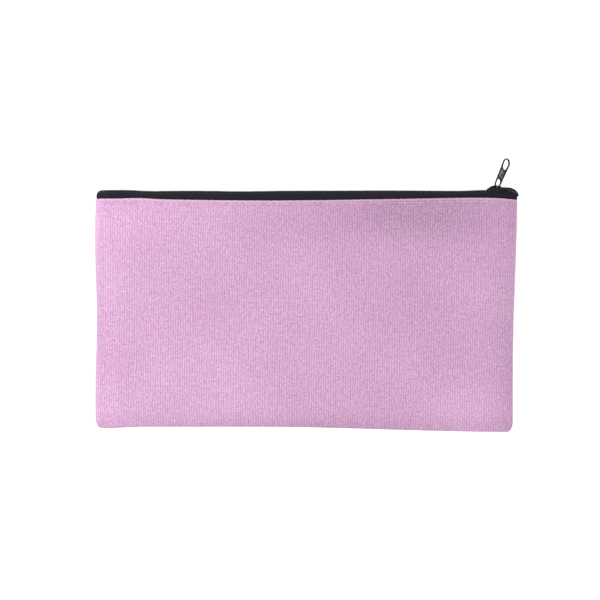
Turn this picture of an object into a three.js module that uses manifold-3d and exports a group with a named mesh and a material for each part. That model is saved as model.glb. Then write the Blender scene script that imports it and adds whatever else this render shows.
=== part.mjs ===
// A flat zip pencil case lying on its back: two canvas panels sewn on three sides and turned, with a nylon coil zip
// along the fourth. Millimetres, +Z up. X runs along the zip, +Y points at the zip, and the origin is the middle of
// the flat face that the case lies on. Soft pieces are plain closed solids of the room that each one takes up.
import * as THREE from "three";
import { mergeVertices } from "three/addons/utils/BufferGeometryUtils.js";
import Module from "manifold-3d";

// ---- Driving dimensions ----
// Case
const CASE_LENGTH = 210; // side seam to side seam
const CASE_HEIGHT = 119.5; // bottom edge to the top of the closed zip
const CANVAS = 0.6; // one layer of canvas
const CORNER_RADIUS = 3; // bottom corners in plan
const BOTTOM_SEAM_Z = 3.4; // height of the bottom seam above the table
const SEAM_GAP = 0.3; // between the two panels along a seam
const RIM = 0.35; // thickness of a panel's rolled rim at a seam
const SIDE_REACH = 16; // how far in from a side seam the wall has reached its full depth
const SIDE_REACH_AT_ZIP = 7; // the same, beside the zip
const BOTTOM_REACH = 15; // the same, from the bottom seam
const ZIP_ZONE = 16; // strip along the top in which the case keeps one depth
const BLEND_ZONE = 34; // strip below it in which the side reach changes
const HEM_DEPTH = 8; // canvas folded under along the zip
const HEM_STEP = 1.5; // slope from one layer to two at the hem
const HEM_STITCH_INSET = 1.9; // from the hem's fold to its row of stitches
const THREAD = 0.35; // thickness of the sewing thread

// Seam allowances, inside
const ALLOWANCE_WIDTH = 7;
const ALLOWANCE_CLEARANCE = 0.4; // between the allowance's outer edge and the curve of the panels
const OVERLOCK_WIDTH = 4; // edge covered by the overlock thread
const OVERLOCK_THREAD = 0.3;

// Zip
const TAPE = 0.5; // thickness of the woven tape
const TAPE_INSIDE = 9; // tape below the hem's fold, sewn under the hem
const TAPE_REVEAL = 4.2; // from the hem's fold to the top of the chain
const TAPE_BEND = 0.8; // radius of the turn from the panel in to the chain
const COIL_WIDTH = 1.6;
const COIL_HEIGHT = 1.3;
const COIL_WALL = 0.3;
const COIL_STITCH_WIDTH = 1;
const FIT = 0.1; // between pieces that are sewn or laid together
const ZIP_END_INSET = 2.6; // the tapes stop this far inside the side seams
const UNFOLD_START = 0.6; // past the slider's nose the open tapes begin to stand up
const UNFOLD_LENGTH = 2.2;
const FRONT_UNFOLD = 1; // share of a right angle that each open tape has stood up by
const BACK_UNFOLD = 0.7;

// Slider
const SLIDER_LENGTH = 8.4;
const SLIDER_NOSE_WIDTH = 6.4;
const SLIDER_TAIL_WIDTH = 5.9;
const SLIDER_CORNER = 1.1;
const SLIDER_WALL = 0.6;
const LOWER_PLATE_INSET = 0.15;
const FLANGE = 0.5;
const WEDGE_WIDTH = 0.9; // the wedge between the plates
const WEDGE_POINT_X = 0.4;
const WEDGE_SHOULDER_X = 1.5;
const RUNNING = 0.2; // clearance of the zip inside the slider
const SLIDER_END_MARGIN = 6.5; // from the closed slider's nose to the side seam
const BRIDGE_LENGTH = 6.8;
const BRIDGE_WIDTH = 1;
const BRIDGE_THICKNESS = 0.55;
const BRIDGE_ROOM = 1.25; // free height under the bridge

// Pull tab
const TAB_LENGTH = 16.35;
const TAB_WIDTH = 5.2;
const TAB_FOOT_WIDTH = 4.2;
const TAB_THICKNESS = 0.7;
const TAB_RIM = 0.7;
const TAB_TIP_RIM = 0.8;
const TAB_RING_RIM = 0.55; // round the eye that takes the bridge
const TAB_RING_LENGTH = 4.2;
const TAB_EYE_LENGTH = 4.9; // finger eye at the tip
const TAB_WEB = 0.45; // between an eye and the sunk field
const TAB_RAISED = 0.15; // raised frame on each face
const TAB_FRAME_INSET = 0.12;
const TAB_ALONG_BRIDGE = 0.4; // where the tab hangs on the bridge, from the slider's middle
const TAB_LIFT = 0.1; // between the ring and the slider's top
const TAB_LEAN = THREE.MathUtils.degToRad(21.5); // towards the closed end of the zip
const TAB_DROOP = THREE.MathUtils.degToRad(14.5); // down, until its tip is on the table
const TAB_TWIST = THREE.MathUtils.degToRad(43); // about its own length

// ---- Places that follow from them ----
const BOTTOM_Y = -CASE_HEIGHT / 2;
const TOP_Y = CASE_HEIGHT / 2;
const HALF_LENGTH = CASE_LENGTH / 2;
const HEM_Y = TOP_Y - TAPE_REVEAL;
const TAPE_Y = TOP_Y - COIL_HEIGHT - FIT - TAPE / 2; // middle of the tape at the chain
const TAPE_DROP = SLIDER_NOSE_WIDTH / 2 + RUNNING + TAPE / 2; // tape to the zip's mid-plane, under the hem
const CROWN = TAPE_DROP + TAPE / 2 + FIT + 2 * CANVAS; // a panel's outer face from the mid-plane
const ZIP_Z = CROWN; // height of the mid-plane at the zip
const CHAIN_INNER = WEDGE_WIDTH / 2 + 0.15; // from the mid-plane to the coil and the tape's edge
const ALLOWANCE_INSET = 2 * CANVAS + ALLOWANCE_CLEARANCE; // from a panel's rim to the allowance
const SEAM_DROP = CANVAS + 2 * FIT + OVERLOCK_THREAD + TAPE / 2; // tape outside a seam allowance
const SLIDER_X = HALF_LENGTH - SLIDER_END_MARGIN - SLIDER_LENGTH / 2;
const SLIDER_NOSE_X = SLIDER_X + SLIDER_LENGTH / 2;
const ZIP_END_X = HALF_LENGTH - ZIP_END_INSET;

const { clamp, lerp, smoothstep } = THREE.MathUtils;

const wasm = await Module();
wasm.setup();

// ---- Solids ----
function toManifold(geometry) {
  const bare = geometry.clone();
  bare.deleteAttribute("normal");
  bare.deleteAttribute("uv");
  const merged = mergeVertices(bare, 1e-4);
  return new wasm.Manifold(
    new wasm.Mesh({
      numProp: 3,
      vertProperties: merged.attributes.position.array,
      triVerts: new Uint32Array(merged.index.array),
    }),
  );
}

function toGeometry(solid) {
  const mesh = solid.getMesh();
  const geometry = new THREE.BufferGeometry();
  geometry.setAttribute("position", new THREE.BufferAttribute(Float32Array.from(mesh.vertProperties), 3));
  geometry.setIndex(new THREE.BufferAttribute(Uint32Array.from(mesh.triVerts), 1));
  const flat = geometry.toNonIndexed();
  flat.computeVertexNormals();
  return flat;
}

// Moves every vertex of a geometry to place(vertex).
function reshape(geometry, place) {
  const position = geometry.attributes.position;
  const vertex = new THREE.Vector3();
  for (let i = 0; i < position.count; i++) {
    vertex.fromBufferAttribute(position, i);
    const moved = place(vertex);
    position.setXYZ(i, moved.x, moved.y, moved.z);
  }
  geometry.deleteAttribute("uv");
  return geometry;
}

// A reshaped solid may come out mirrored; then its triangles are turned round.
function facingOut(geometry) {
  const flat = geometry.index ? geometry.toNonIndexed() : geometry;
  const p = flat.attributes.position;
  const corner = (i) => new THREE.Vector3().fromBufferAttribute(p, i);
  let volume = 0;
  for (let i = 0; i < p.count; i += 3) {
    volume += corner(i).dot(corner(i + 1).cross(corner(i + 2)));
  }
  if (volume < 0) {
    for (let i = 0; i < p.count; i += 3) {
      const second = corner(i + 1);
      p.setXYZ(i + 1, ...corner(i + 2));
      p.setXYZ(i + 2, ...second);
    }
  }
  flat.computeVertexNormals();
  return flat;
}

function ellipse(width, height) {
  const shape = new THREE.Shape();
  shape.absellipse(0, 0, width / 2, height / 2, 0, 2 * Math.PI);
  return shape;
}

// ---- Shape of the case ----
// Height of the mid-plane, which holds the seams and the zip. It climbs from the bottom seam to the zip's zone.
const midPlaneZ = (y) => lerp(BOTTOM_SEAM_Z, ZIP_Z, clamp((y - BOTTOM_Y) / (CASE_HEIGHT - ZIP_ZONE), 0, 1));

function sideReach(y) {
  return lerp(SIDE_REACH, SIDE_REACH_AT_ZIP, smoothstep(y, TOP_Y - ZIP_ZONE - BLEND_ZONE, TOP_Y - ZIP_ZONE));
}

// Half the case's length at a height y, shorter where the bottom corners are round.
function halfLengthAt(y) {
  const fromBottom = clamp(y - BOTTOM_Y, 0, CORNER_RADIUS);
  return HALF_LENGTH - CORNER_RADIUS + Math.sqrt(CORNER_RADIUS ** 2 - (CORNER_RADIUS - fromBottom) ** 2);
}

// Rise, from 0 to 1, of a quarter ellipse at a distance from its foot.
function quarterRise(distance, reach) {
  const left = 1 - clamp(distance / reach, 0, 1);
  return Math.sqrt(1 - left * left);
}

// Distance of a panel's outer face from the mid-plane, where the edges have risen by the share given.
function outerDepth(side, y, rise) {
  const full = SEAM_GAP / 2 + RIM + (CROWN - SEAM_GAP / 2 - RIM) * rise;
  return side > 0 ? full : (full / CROWN) * midPlaneZ(y);
}

// Evenly spaced shares of a span, placed so that its rounded ends get segments that turn by even angles.
function acrossAt(u, half, reach) {
  const share = 0.24;
  const turned = (edge) => reach * (1 - Math.cos((edge / share) * (Math.PI / 2)));
  if (u < share) {
    return -half + turned(u);
  }
  if (u > 1 - share) {
    return half - turned(1 - u);
  }
  return lerp(-half + reach, half - reach, (u - share) / (1 - 2 * share));
}

function upwardAt(v) {
  const share = 0.3;
  if (v < share) {
    return BOTTOM_Y + BOTTOM_REACH * (1 - Math.cos((v / share) * (Math.PI / 2)));
  }
  return lerp(BOTTOM_Y + BOTTOM_REACH, HEM_Y, (v - share) / (1 - share));
}

function panelOuter(side, u, v) {
  const y = upwardAt(v);
  const half = halfLengthAt(y);
  const x = acrossAt(u, half, sideReach(y));
  const rise = quarterRise(half - Math.abs(x), sideReach(y)) * quarterRise(y - BOTTOM_Y, BOTTOM_REACH);
  return new THREE.Vector3(x, y, midPlaneZ(y) + side * outerDepth(side, y, rise));
}

// The underside lies one layer in from the outer face, two along the hem, and stays on its own side of the seams.
function panelInner(side, u, v) {
  const step = 0.004;
  const cu = clamp(u, 2 * step, 1 - 2 * step);
  const cv = clamp(v, 2 * step, 1 - 2 * step);
  const alongU = panelOuter(side, cu + step, cv).sub(panelOuter(side, cu - step, cv));
  const alongV = panelOuter(side, cu, cv + step).sub(panelOuter(side, cu, cv - step));
  const inward = alongU.cross(alongV).normalize().multiplyScalar(-side);
  const outer = panelOuter(side, u, v);
  const hem = smoothstep(outer.y, HEM_Y - HEM_DEPTH - HEM_STEP, HEM_Y - HEM_DEPTH);
  const point = outer.addScaledVector(inward, CANVAS * (1 + hem));
  const seam = midPlaneZ(point.y) + (side * SEAM_GAP) / 2;
  point.y = Math.min(point.y, HEM_Y);
  point.z = side > 0 ? Math.max(point.z, seam) : Math.min(point.z, seam);
  return point;
}

function panel(side) {
  const sheet = new THREE.BoxGeometry(1, 1, 1, 26, 20, 1);
  return facingOut(
    reshape(sheet, (p) => (p.z > 0 ? panelOuter : panelInner)(side, p.x + 0.5, p.y + 0.5)),
  );
}

// ---- Seams inside the case ----
// Both panels' turned-in edges lie together on the mid-plane, as one strip from (x0, y0) to (x1, y1).
function onMidPlane(geometry) {
  return facingOut(reshape(geometry, (p) => p.setZ(p.z + midPlaneZ(p.y))));
}

function allowance(x0, y0, x1, y1) {
  const strip = new THREE.BoxGeometry(x1 - x0, y1 - y0, 2 * CANVAS, 1, 8, 1);
  strip.translate((x0 + x1) / 2, (y0 + y1) / 2, 0);
  return onMidPlane(strip);
}

// Overlock thread wrapped round a cut edge: a channel, open towards the seam, with its web at the section's origin.
function overlock(length) {
  const slot = CANVAS + FIT;
  const outer = slot + OVERLOCK_THREAD;
  const section = new THREE.Shape([
    new THREE.Vector2(0, -outer),
    new THREE.Vector2(OVERLOCK_WIDTH, -outer),
    new THREE.Vector2(OVERLOCK_WIDTH, -slot),
    new THREE.Vector2(OVERLOCK_THREAD, -slot),
    new THREE.Vector2(OVERLOCK_THREAD, slot),
    new THREE.Vector2(OVERLOCK_WIDTH, slot),
    new THREE.Vector2(OVERLOCK_WIDTH, outer),
    new THREE.Vector2(0, outer),
  ]);
  return new THREE.ExtrudeGeometry(section, { depth: length, steps: 8, bevelEnabled: false });
}

const SIDE_SEAM = {
  outer: HALF_LENGTH - ALLOWANCE_INSET,
  inner: HALF_LENGTH - ALLOWANCE_INSET - ALLOWANCE_WIDTH,
  bottom: BOTTOM_Y + ALLOWANCE_INSET + CORNER_RADIUS,
  top: HEM_Y - THREAD,
};

function sideAllowance(end) {
  const a = end * SIDE_SEAM.outer;
  const b = end * SIDE_SEAM.inner;
  return allowance(Math.min(a, b), SIDE_SEAM.bottom, Math.max(a, b), SIDE_SEAM.top);
}

function sideOverlock(end) {
  const web = SIDE_SEAM.inner - FIT - OVERLOCK_THREAD;
  const channel = overlock(SIDE_SEAM.top - SIDE_SEAM.bottom);
  return onMidPlane(
    reshape(channel, (p) => p.set(end * (web + p.x), SIDE_SEAM.bottom + p.z, p.y)),
  );
}

const BOTTOM_SEAM = {
  outer: BOTTOM_Y + ALLOWANCE_INSET,
  inner: BOTTOM_Y + ALLOWANCE_INSET + ALLOWANCE_WIDTH,
  end: SIDE_SEAM.inner - 2 * FIT - 2 * OVERLOCK_THREAD,
};

function bottomAllowance() {
  return allowance(-BOTTOM_SEAM.end, BOTTOM_SEAM.outer, BOTTOM_SEAM.end, BOTTOM_SEAM.inner);
}

function bottomOverlock() {
  const web = BOTTOM_SEAM.inner + FIT + OVERLOCK_THREAD;
  const channel = overlock(2 * BOTTOM_SEAM.end);
  return onMidPlane(
    reshape(channel, (p) => p.set(p.z - BOTTOM_SEAM.end, web - p.x, p.y)),
  );
}

// ---- Stitches along the hem ----
// One row of lockstitch. The front row's thread lies on the canvas and the back row's on the tape, inside.
function hemStitch(depth) {
  const end = HALF_LENGTH - SIDE_REACH_AT_ZIP;
  const y = HEM_Y - HEM_STITCH_INSET;
  const row = new THREE.ExtrudeGeometry(ellipse(THREAD, THREAD), { depth: 2 * end, bevelEnabled: false });
  return facingOut(reshape(row, (p) => p.set(p.z - end, y + p.x, midPlaneZ(y) + depth + p.y)));
}

// ---- Zip ----
// Stations along the zip: few where it runs straight, close together at its two ends.
function zipX(t) {
  const straightFrom = -HALF_LENGTH + SIDE_REACH_AT_ZIP + ZIP_END_INSET;
  const straightTo = SLIDER_NOSE_X + UNFOLD_START;
  if (t < 0.3) {
    return lerp(-ZIP_END_X, straightFrom, t / 0.3);
  }
  return t < 0.5 ? lerp(straightFrom, straightTo, (t - 0.3) / 0.2) : lerp(straightTo, ZIP_END_X, (t - 0.5) / 0.5);
}

// The tape's distance from the mid-plane under the hem. It follows the panel in to the side seams.
function tapeDropAt(x) {
  const inset = 3 * CANVAS;
  const rise = quarterRise(HALF_LENGTH - inset - Math.abs(x), SIDE_REACH_AT_ZIP - inset);
  return Math.max(SEAM_DROP, TAPE_DROP * rise);
}

const BEND_LENGTH = (TAPE_BEND * Math.PI) / 2;
const tapeRunAt = (x) => BEND_LENGTH + Math.max(tapeDropAt(x) - TAPE_BEND - CHAIN_INNER, 0);

// A point of the zip: s along the tape from where its turn starts, and lift off it, at x. The tape goes up under the
// hem, turns in towards the mid-plane and ends beside it, except where it stands up, past the slider.
function zipPoint(side, unfold, x, s, lift) {
  const standing = unfold * smoothstep(x, SLIDER_NOSE_X + UNFOLD_START, SLIDER_NOSE_X + UNFOLD_START + UNFOLD_LENGTH);
  const fullTurn = (Math.PI / 2) * Math.max(1 - standing, 1e-3);
  const turned = fullTurn * clamp(s / BEND_LENGTH, 0, 1);
  const radius = BEND_LENGTH / fullTurn;
  const run = Math.max(s - BEND_LENGTH, 0);
  const up = Math.min(s, 0) + radius * Math.sin(turned) + run * Math.cos(turned) + lift * Math.sin(turned);
  const inward = radius * (1 - Math.cos(turned)) + run * Math.sin(turned) - lift * Math.cos(turned);
  const y = TAPE_Y - TAPE_BEND + up;
  return new THREE.Vector3(x, y, midPlaneZ(y) + side * (tapeDropAt(x) - inward));
}

function tape(side, unfold) {
  const inside = HEM_Y - TAPE_INSIDE - (TAPE_Y - TAPE_BEND);
  const turnFrom = 0.25;
  const strip = new THREE.BoxGeometry(1, 1, TAPE, 20, 12, 1);
  return facingOut(
    reshape(strip, (p) => {
      const x = zipX(p.x + 0.5);
      const t = p.y + 0.5;
      const s = t < turnFrom ? lerp(inside, 0, t / turnFrom) : (tapeRunAt(x) * (t - turnFrom)) / (1 - turnFrom);
      return zipPoint(side, unfold, x, s, p.z);
    }),
  );
}

// A piece that runs along the tape's edge: a section drawn with X towards the edge and Y off the tape.
function alongEdge(section, side, unfold, lift) {
  const bar = new THREE.ExtrudeGeometry(section, { depth: 1, steps: 20, bevelEnabled: false, curveSegments: 5 });
  return facingOut(
    reshape(bar, (p) => {
      const x = zipX(p.z);
      return zipPoint(side, unfold, x, tapeRunAt(x) - COIL_WIDTH / 2 + p.x, lift + p.y);
    }),
  );
}

const COIL_LIFT = TAPE / 2 + FIT + COIL_HEIGHT / 2;

function coil(side, unfold) {
  const section = ellipse(COIL_WIDTH, COIL_HEIGHT);
  section.holes.push(ellipse(COIL_WIDTH - 2 * COIL_WALL, COIL_HEIGHT - 2 * COIL_WALL));
  return alongEdge(section, side, unfold, COIL_LIFT);
}

function coilCore(side, unfold) {
  const around = 2 * (COIL_WALL + FIT);
  return alongEdge(ellipse(COIL_WIDTH - around, COIL_HEIGHT - around), side, unfold, COIL_LIFT);
}

function coilStitch(side, unfold) {
  const half = COIL_STITCH_WIDTH / 2;
  const section = new THREE.Shape([
    new THREE.Vector2(-half, -THREAD / 2),
    new THREE.Vector2(half, -THREAD / 2),
    new THREE.Vector2(half, THREAD / 2),
    new THREE.Vector2(-half, THREAD / 2),
  ]);
  return alongEdge(section, side, unfold, -TAPE / 2 - FIT - THREAD / 2);
}

// ---- Slider, about its own middle: X along the zip, Y out of the case, Z across ----
const ROOF = TAPE / 2 + FIT + COIL_HEIGHT + RUNNING;
const SLIDER_TOP = ROOF + SLIDER_WALL;
const FLOOR = -TAPE / 2 - FIT - THREAD - RUNNING;
const SLIDER_BOTTOM = FLOOR - SLIDER_WALL;

function plateOutline(inset) {
  const half = SLIDER_LENGTH / 2 - inset;
  const nose = SLIDER_NOSE_WIDTH / 2 - inset;
  const tail = SLIDER_TAIL_WIDTH / 2 - inset;
  const outline = new THREE.Shape();
  outline.moveTo(-half + SLIDER_CORNER, -tail);
  outline.lineTo(half - SLIDER_CORNER, -nose);
  outline.quadraticCurveTo(half, -nose, half, -nose + SLIDER_CORNER);
  outline.lineTo(half, nose - SLIDER_CORNER);
  outline.quadraticCurveTo(half, nose, half - SLIDER_CORNER, nose);
  outline.lineTo(-half + SLIDER_CORNER, tail);
  outline.quadraticCurveTo(-half, tail, -half, tail - SLIDER_CORNER);
  outline.lineTo(-half, -tail + SLIDER_CORNER);
  outline.quadraticCurveTo(-half, -tail, -half + SLIDER_CORNER, -tail);
  return outline;
}

// A shape drawn in the X and Z plane, thick from one height to another.
function slab(shape, low, high) {
  const solid = new THREE.ExtrudeGeometry(shape, { depth: high - low, bevelEnabled: false, curveSegments: 5 });
  solid.rotateX(-Math.PI / 2);
  solid.translate(0, low, 0);
  return toManifold(solid);
}

function cuboid(width, height, depth, y) {
  const box = new THREE.BoxGeometry(width, height, depth);
  box.translate(0, y, 0);
  return toManifold(box);
}

function wedge() {
  const noseX = SLIDER_LENGTH / 2 - 2 * LOWER_PLATE_INSET;
  const half = WEDGE_WIDTH / 2;
  const outline = new THREE.Shape([
    new THREE.Vector2(WEDGE_POINT_X, 0),
    new THREE.Vector2(WEDGE_SHOULDER_X, -half),
    new THREE.Vector2(noseX, -half),
    new THREE.Vector2(noseX, half),
    new THREE.Vector2(WEDGE_SHOULDER_X, half),
  ]);
  return slab(outline, SLIDER_BOTTOM + SLIDER_WALL / 2, SLIDER_TOP - SLIDER_WALL / 2);
}

// The bridge is a low arch along the slider's top, that holds the pull tab.
function bridge() {
  const half = BRIDGE_LENGTH / 2;
  const sunk = SLIDER_WALL / 2;
  const rise = sunk + BRIDGE_ROOM;
  const top = rise + BRIDGE_THICKNESS;
  const inner = half - BRIDGE_THICKNESS;
  const arch = new THREE.Shape();
  arch.moveTo(-half, 0);
  arch.bezierCurveTo(-half, top * 0.8, -half * 0.62, top, -half * 0.3, top);
  arch.lineTo(half * 0.3, top);
  arch.bezierCurveTo(half * 0.62, top, half, top * 0.8, half, 0);
  arch.lineTo(inner, 0);
  arch.bezierCurveTo(inner, rise * 0.85, inner * 0.8, rise, inner * 0.5, rise);
  arch.lineTo(-inner * 0.5, rise);
  arch.bezierCurveTo(-inner * 0.8, rise, -inner, rise * 0.85, -inner, 0);
  const solid = new THREE.ExtrudeGeometry(arch, { depth: BRIDGE_WIDTH, bevelEnabled: false, curveSegments: 5 });
  solid.translate(0, SLIDER_TOP - sunk, -BRIDGE_WIDTH / 2);
  return toManifold(solid);
}

function sliderBody() {
  const slot = TAPE / 2 + RUNNING;
  const upper = slab(plateOutline(0), slot, SLIDER_TOP);
  const channelWidth = SLIDER_TAIL_WIDTH - 2 * FLANGE;
  const channel = cuboid(2 * SLIDER_LENGTH, 2 * ROOF, channelWidth, 0);
  const lower = slab(plateOutline(LOWER_PLATE_INSET), SLIDER_BOTTOM, FLOOR);
  return toGeometry(upper.subtract(channel).add(lower).add(wedge()).add(bridge()));
}

// ---- Pull tab, about the middle of its ring, with its length along +Y ----
const FOOT_RADIUS = TAB_FOOT_WIDTH / 2;
const TIP_RADIUS = TAB_WIDTH / 2;
const TAB_TIP_Y = TAB_LENGTH - FOOT_RADIUS;
const RING_WIDTH = TAB_FOOT_WIDTH - 2 * TAB_RING_RIM;
const RING_TOP_Y = TAB_RING_LENGTH - RING_WIDTH / 2;
const EYE_WIDTH = TAB_WIDTH - 2 * TAB_RIM;
const EYE_TOP_Y = TAB_TIP_Y - TAB_TIP_RIM;

function stadium(width, low, high) {
  const radius = width / 2;
  const shape = new THREE.Shape();
  shape.absarc(0, low + radius, radius, Math.PI, 2 * Math.PI);
  shape.absarc(0, high - radius, radius, 0, Math.PI);
  return shape;
}

const eyeOutline = (grow) => stadium(EYE_WIDTH + 2 * grow, EYE_TOP_Y - TAB_EYE_LENGTH - grow, EYE_TOP_Y + grow);
const ringOutline = (grow) => stadium(RING_WIDTH + 2 * grow, -RING_WIDTH / 2 - grow, RING_TOP_Y + grow);

function tabOutline(inset) {
  const outline = new THREE.Shape();
  outline.absarc(0, 0, FOOT_RADIUS - inset, Math.PI, 2 * Math.PI);
  outline.absarc(0, TAB_TIP_Y - TIP_RADIUS, TIP_RADIUS - inset, 0, Math.PI);
  return outline;
}

// A flat plate of the given outline, as thick each way from the middle.
function plate(outline, half) {
  const solid = new THREE.ExtrudeGeometry(outline, { depth: 2 * half, bevelEnabled: false, curveSegments: 9 });
  solid.translate(0, 0, -half);
  return toManifold(solid);
}

// Above the ring both faces have a raised frame round a sunk field.
function pullTab() {
  const half = TAB_THICKNESS / 2;
  const raised = half + TAB_RAISED;
  const ringZone = TAB_RING_RIM + TAB_FRAME_INSET;
  const field = plate(tabOutline(TAB_RIM), 2 * raised)
    .subtract(plate(eyeOutline(TAB_WEB), 3 * raised))
    .subtract(plate(ringOutline(ringZone + TAB_WEB), 3 * raised));
  const frame = plate(tabOutline(TAB_FRAME_INSET), raised)
    .subtract(plate(ringOutline(ringZone), 2 * raised))
    .subtract(field);
  const eyes = plate(eyeOutline(0), 2 * raised).add(plate(ringOutline(0), 2 * raised));
  return toGeometry(plate(tabOutline(0), half).add(frame).subtract(eyes));
}

// ---- Assembly ----
const canvas = new THREE.MeshStandardMaterial({ color: 0xd9aacf, roughness: 0.95, metalness: 0 });
const pinkThread = new THREE.MeshStandardMaterial({ color: 0xdcb0d2, roughness: 0.8, metalness: 0 });
const blackTape = new THREE.MeshStandardMaterial({ color: 0x2e2c35, roughness: 0.9, metalness: 0 });
const nylon = new THREE.MeshStandardMaterial({ color: 0x17171c, roughness: 0.45, metalness: 0 });
const darkCord = new THREE.MeshStandardMaterial({ color: 0x24222a, roughness: 0.9, metalness: 0 });
const blackEnamel = new THREE.MeshStandardMaterial({ color: 0x1b1b1f, roughness: 0.4, metalness: 0.6 });
const gunmetal = new THREE.MeshStandardMaterial({ color: 0x4a4a50, roughness: 0.35, metalness: 0.9 });

const pencilCase = new THREE.Group();

function addPiece(name, geometry, material) {
  const mesh = new THREE.Mesh(geometry, material);
  mesh.name = name;
  pencilCase.add(mesh);
  return mesh;
}

const HALVES = [
  { half: "front", side: 1, unfold: FRONT_UNFOLD, stitchDepth: CROWN + FIT + THREAD / 2 },
  { half: "back", side: -1, unfold: BACK_UNFOLD, stitchDepth: -TAPE_DROP + TAPE / 2 + FIT + THREAD / 2 },
];
for (const { half, side, unfold, stitchDepth } of HALVES) {
  addPiece(`${half}_panel`, panel(side), canvas);
  addPiece(`${half}_hem_stitch`, hemStitch(stitchDepth), pinkThread);
  addPiece(`${half}_zip_tape`, tape(side, unfold), blackTape);
  addPiece(`${half}_zip_coil`, coil(side, unfold), nylon);
  addPiece(`${half}_coil_core`, coilCore(side, unfold), darkCord);
  addPiece(`${half}_coil_stitch`, coilStitch(side, unfold), darkCord);
}

for (const [end, sign] of [["left", -1], ["right", 1]]) {
  addPiece(`${end}_seam_allowance`, sideAllowance(sign), canvas);
  addPiece(`${end}_overlock`, sideOverlock(sign), pinkThread);
}
addPiece("bottom_seam_allowance", bottomAllowance(), canvas);
addPiece("bottom_overlock", bottomOverlock(), pinkThread);

const slider = new THREE.Group();
slider.position.set(SLIDER_X, TAPE_Y, ZIP_Z);
pencilCase.add(slider);
const body = addPiece("slider_body", sliderBody(), blackEnamel);
slider.add(body);

const tab = addPiece("pull_tab", pullTab(), gunmetal);
tab.position.set(TAB_ALONG_BRIDGE, SLIDER_TOP + TAB_LIFT + FOOT_RADIUS, 0);
tab.rotation.set(-TAB_DROOP, TAB_TWIST, -TAB_LEAN, "ZXY");
slider.add(tab);

export default pencilCase;
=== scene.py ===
"""The looks of a flat zip pencil case: two canvas panels, a nylon coil zip, its slider and its pull tab.

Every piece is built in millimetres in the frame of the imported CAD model, X along the zip, Y out of the zip
and Z up, and becomes metres when its mesh is made. The case lies on its back on the table at Z = 0.
"""

import logging
import math
from dataclasses import dataclass
from enum import Enum
from typing import Any, Callable, Sequence

import bpy
import numpy as np
from mathutils import Matrix, Vector


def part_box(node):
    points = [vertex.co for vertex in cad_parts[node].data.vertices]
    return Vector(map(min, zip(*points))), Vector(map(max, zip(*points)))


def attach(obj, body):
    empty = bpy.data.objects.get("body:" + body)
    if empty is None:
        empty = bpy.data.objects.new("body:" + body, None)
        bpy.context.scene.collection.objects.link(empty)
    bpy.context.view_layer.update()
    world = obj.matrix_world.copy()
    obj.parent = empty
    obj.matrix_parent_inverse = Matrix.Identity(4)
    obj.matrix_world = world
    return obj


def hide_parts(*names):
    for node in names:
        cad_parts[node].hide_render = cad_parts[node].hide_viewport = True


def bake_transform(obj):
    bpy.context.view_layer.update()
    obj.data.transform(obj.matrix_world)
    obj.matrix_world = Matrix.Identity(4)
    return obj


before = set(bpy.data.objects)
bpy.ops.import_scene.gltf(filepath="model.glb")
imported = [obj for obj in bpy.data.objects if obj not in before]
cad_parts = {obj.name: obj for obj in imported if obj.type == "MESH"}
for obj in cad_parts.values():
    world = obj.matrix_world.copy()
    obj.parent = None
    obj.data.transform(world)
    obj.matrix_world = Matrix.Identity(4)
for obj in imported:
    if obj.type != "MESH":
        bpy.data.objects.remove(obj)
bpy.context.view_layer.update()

MM = 0.001
SAME = 1e-7  # closer than this, two coordinates in metres are one
SEAM_DROP = 0.27  # from the front panel's lowest edge to the plane of the seams
LOG = logging.getLogger("pencil_case")

Points = np.ndarray
Shell = tuple[Points, list[tuple[int, ...]]]


# ---- Numbers and curves ----
def smoothstep(low: float, high: float, value: Any) -> Any:
    """A smooth climb from 0 at low to 1 at high."""
    share = np.clip((value - low) / (high - low), 0.0, 1.0)
    return share * share * (3.0 - 2.0 * share)


def quarter_rise(distance: Any, reach: float | np.ndarray) -> Any:
    """The height, from 0 to 1, of a quarter ellipse at a distance from its foot."""
    left = 1.0 - np.clip(distance / reach, 0.0, 1.0)
    return np.sqrt(1.0 - left * left)


def box_of(node: str) -> tuple[np.ndarray, np.ndarray]:
    """The lowest and highest corner of a CAD node, in millimetres."""
    low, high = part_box(node)
    return np.array(low) / MM, np.array(high) / MM


def linear(code: str) -> tuple[float, float, float, float]:
    """An sRGB hex colour as linear red, green, blue and alpha.

    Args:
        code: six hex digits, such as "d9aacf".

    Returns:
        The four linear values.
    """
    parts = [int(code[i:i + 2], 16) / 255 for i in (0, 2, 4)]
    made = [p / 12.92 if p <= 0.04045 else ((p + 0.055) / 1.055) ** 2.4 for p in parts]
    return (made[0], made[1], made[2], 1.0)


# ---- Meshes ----
def deselect() -> None:
    """Leaves nothing selected, so that an operator acts on the new piece only."""
    bpy.ops.object.select_all(action="DESELECT")


def activate(piece: bpy.types.Object) -> None:
    """Makes a piece the only one selected, and the active one."""
    deselect()
    piece.select_set(True)
    bpy.context.view_layer.objects.active = piece


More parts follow.
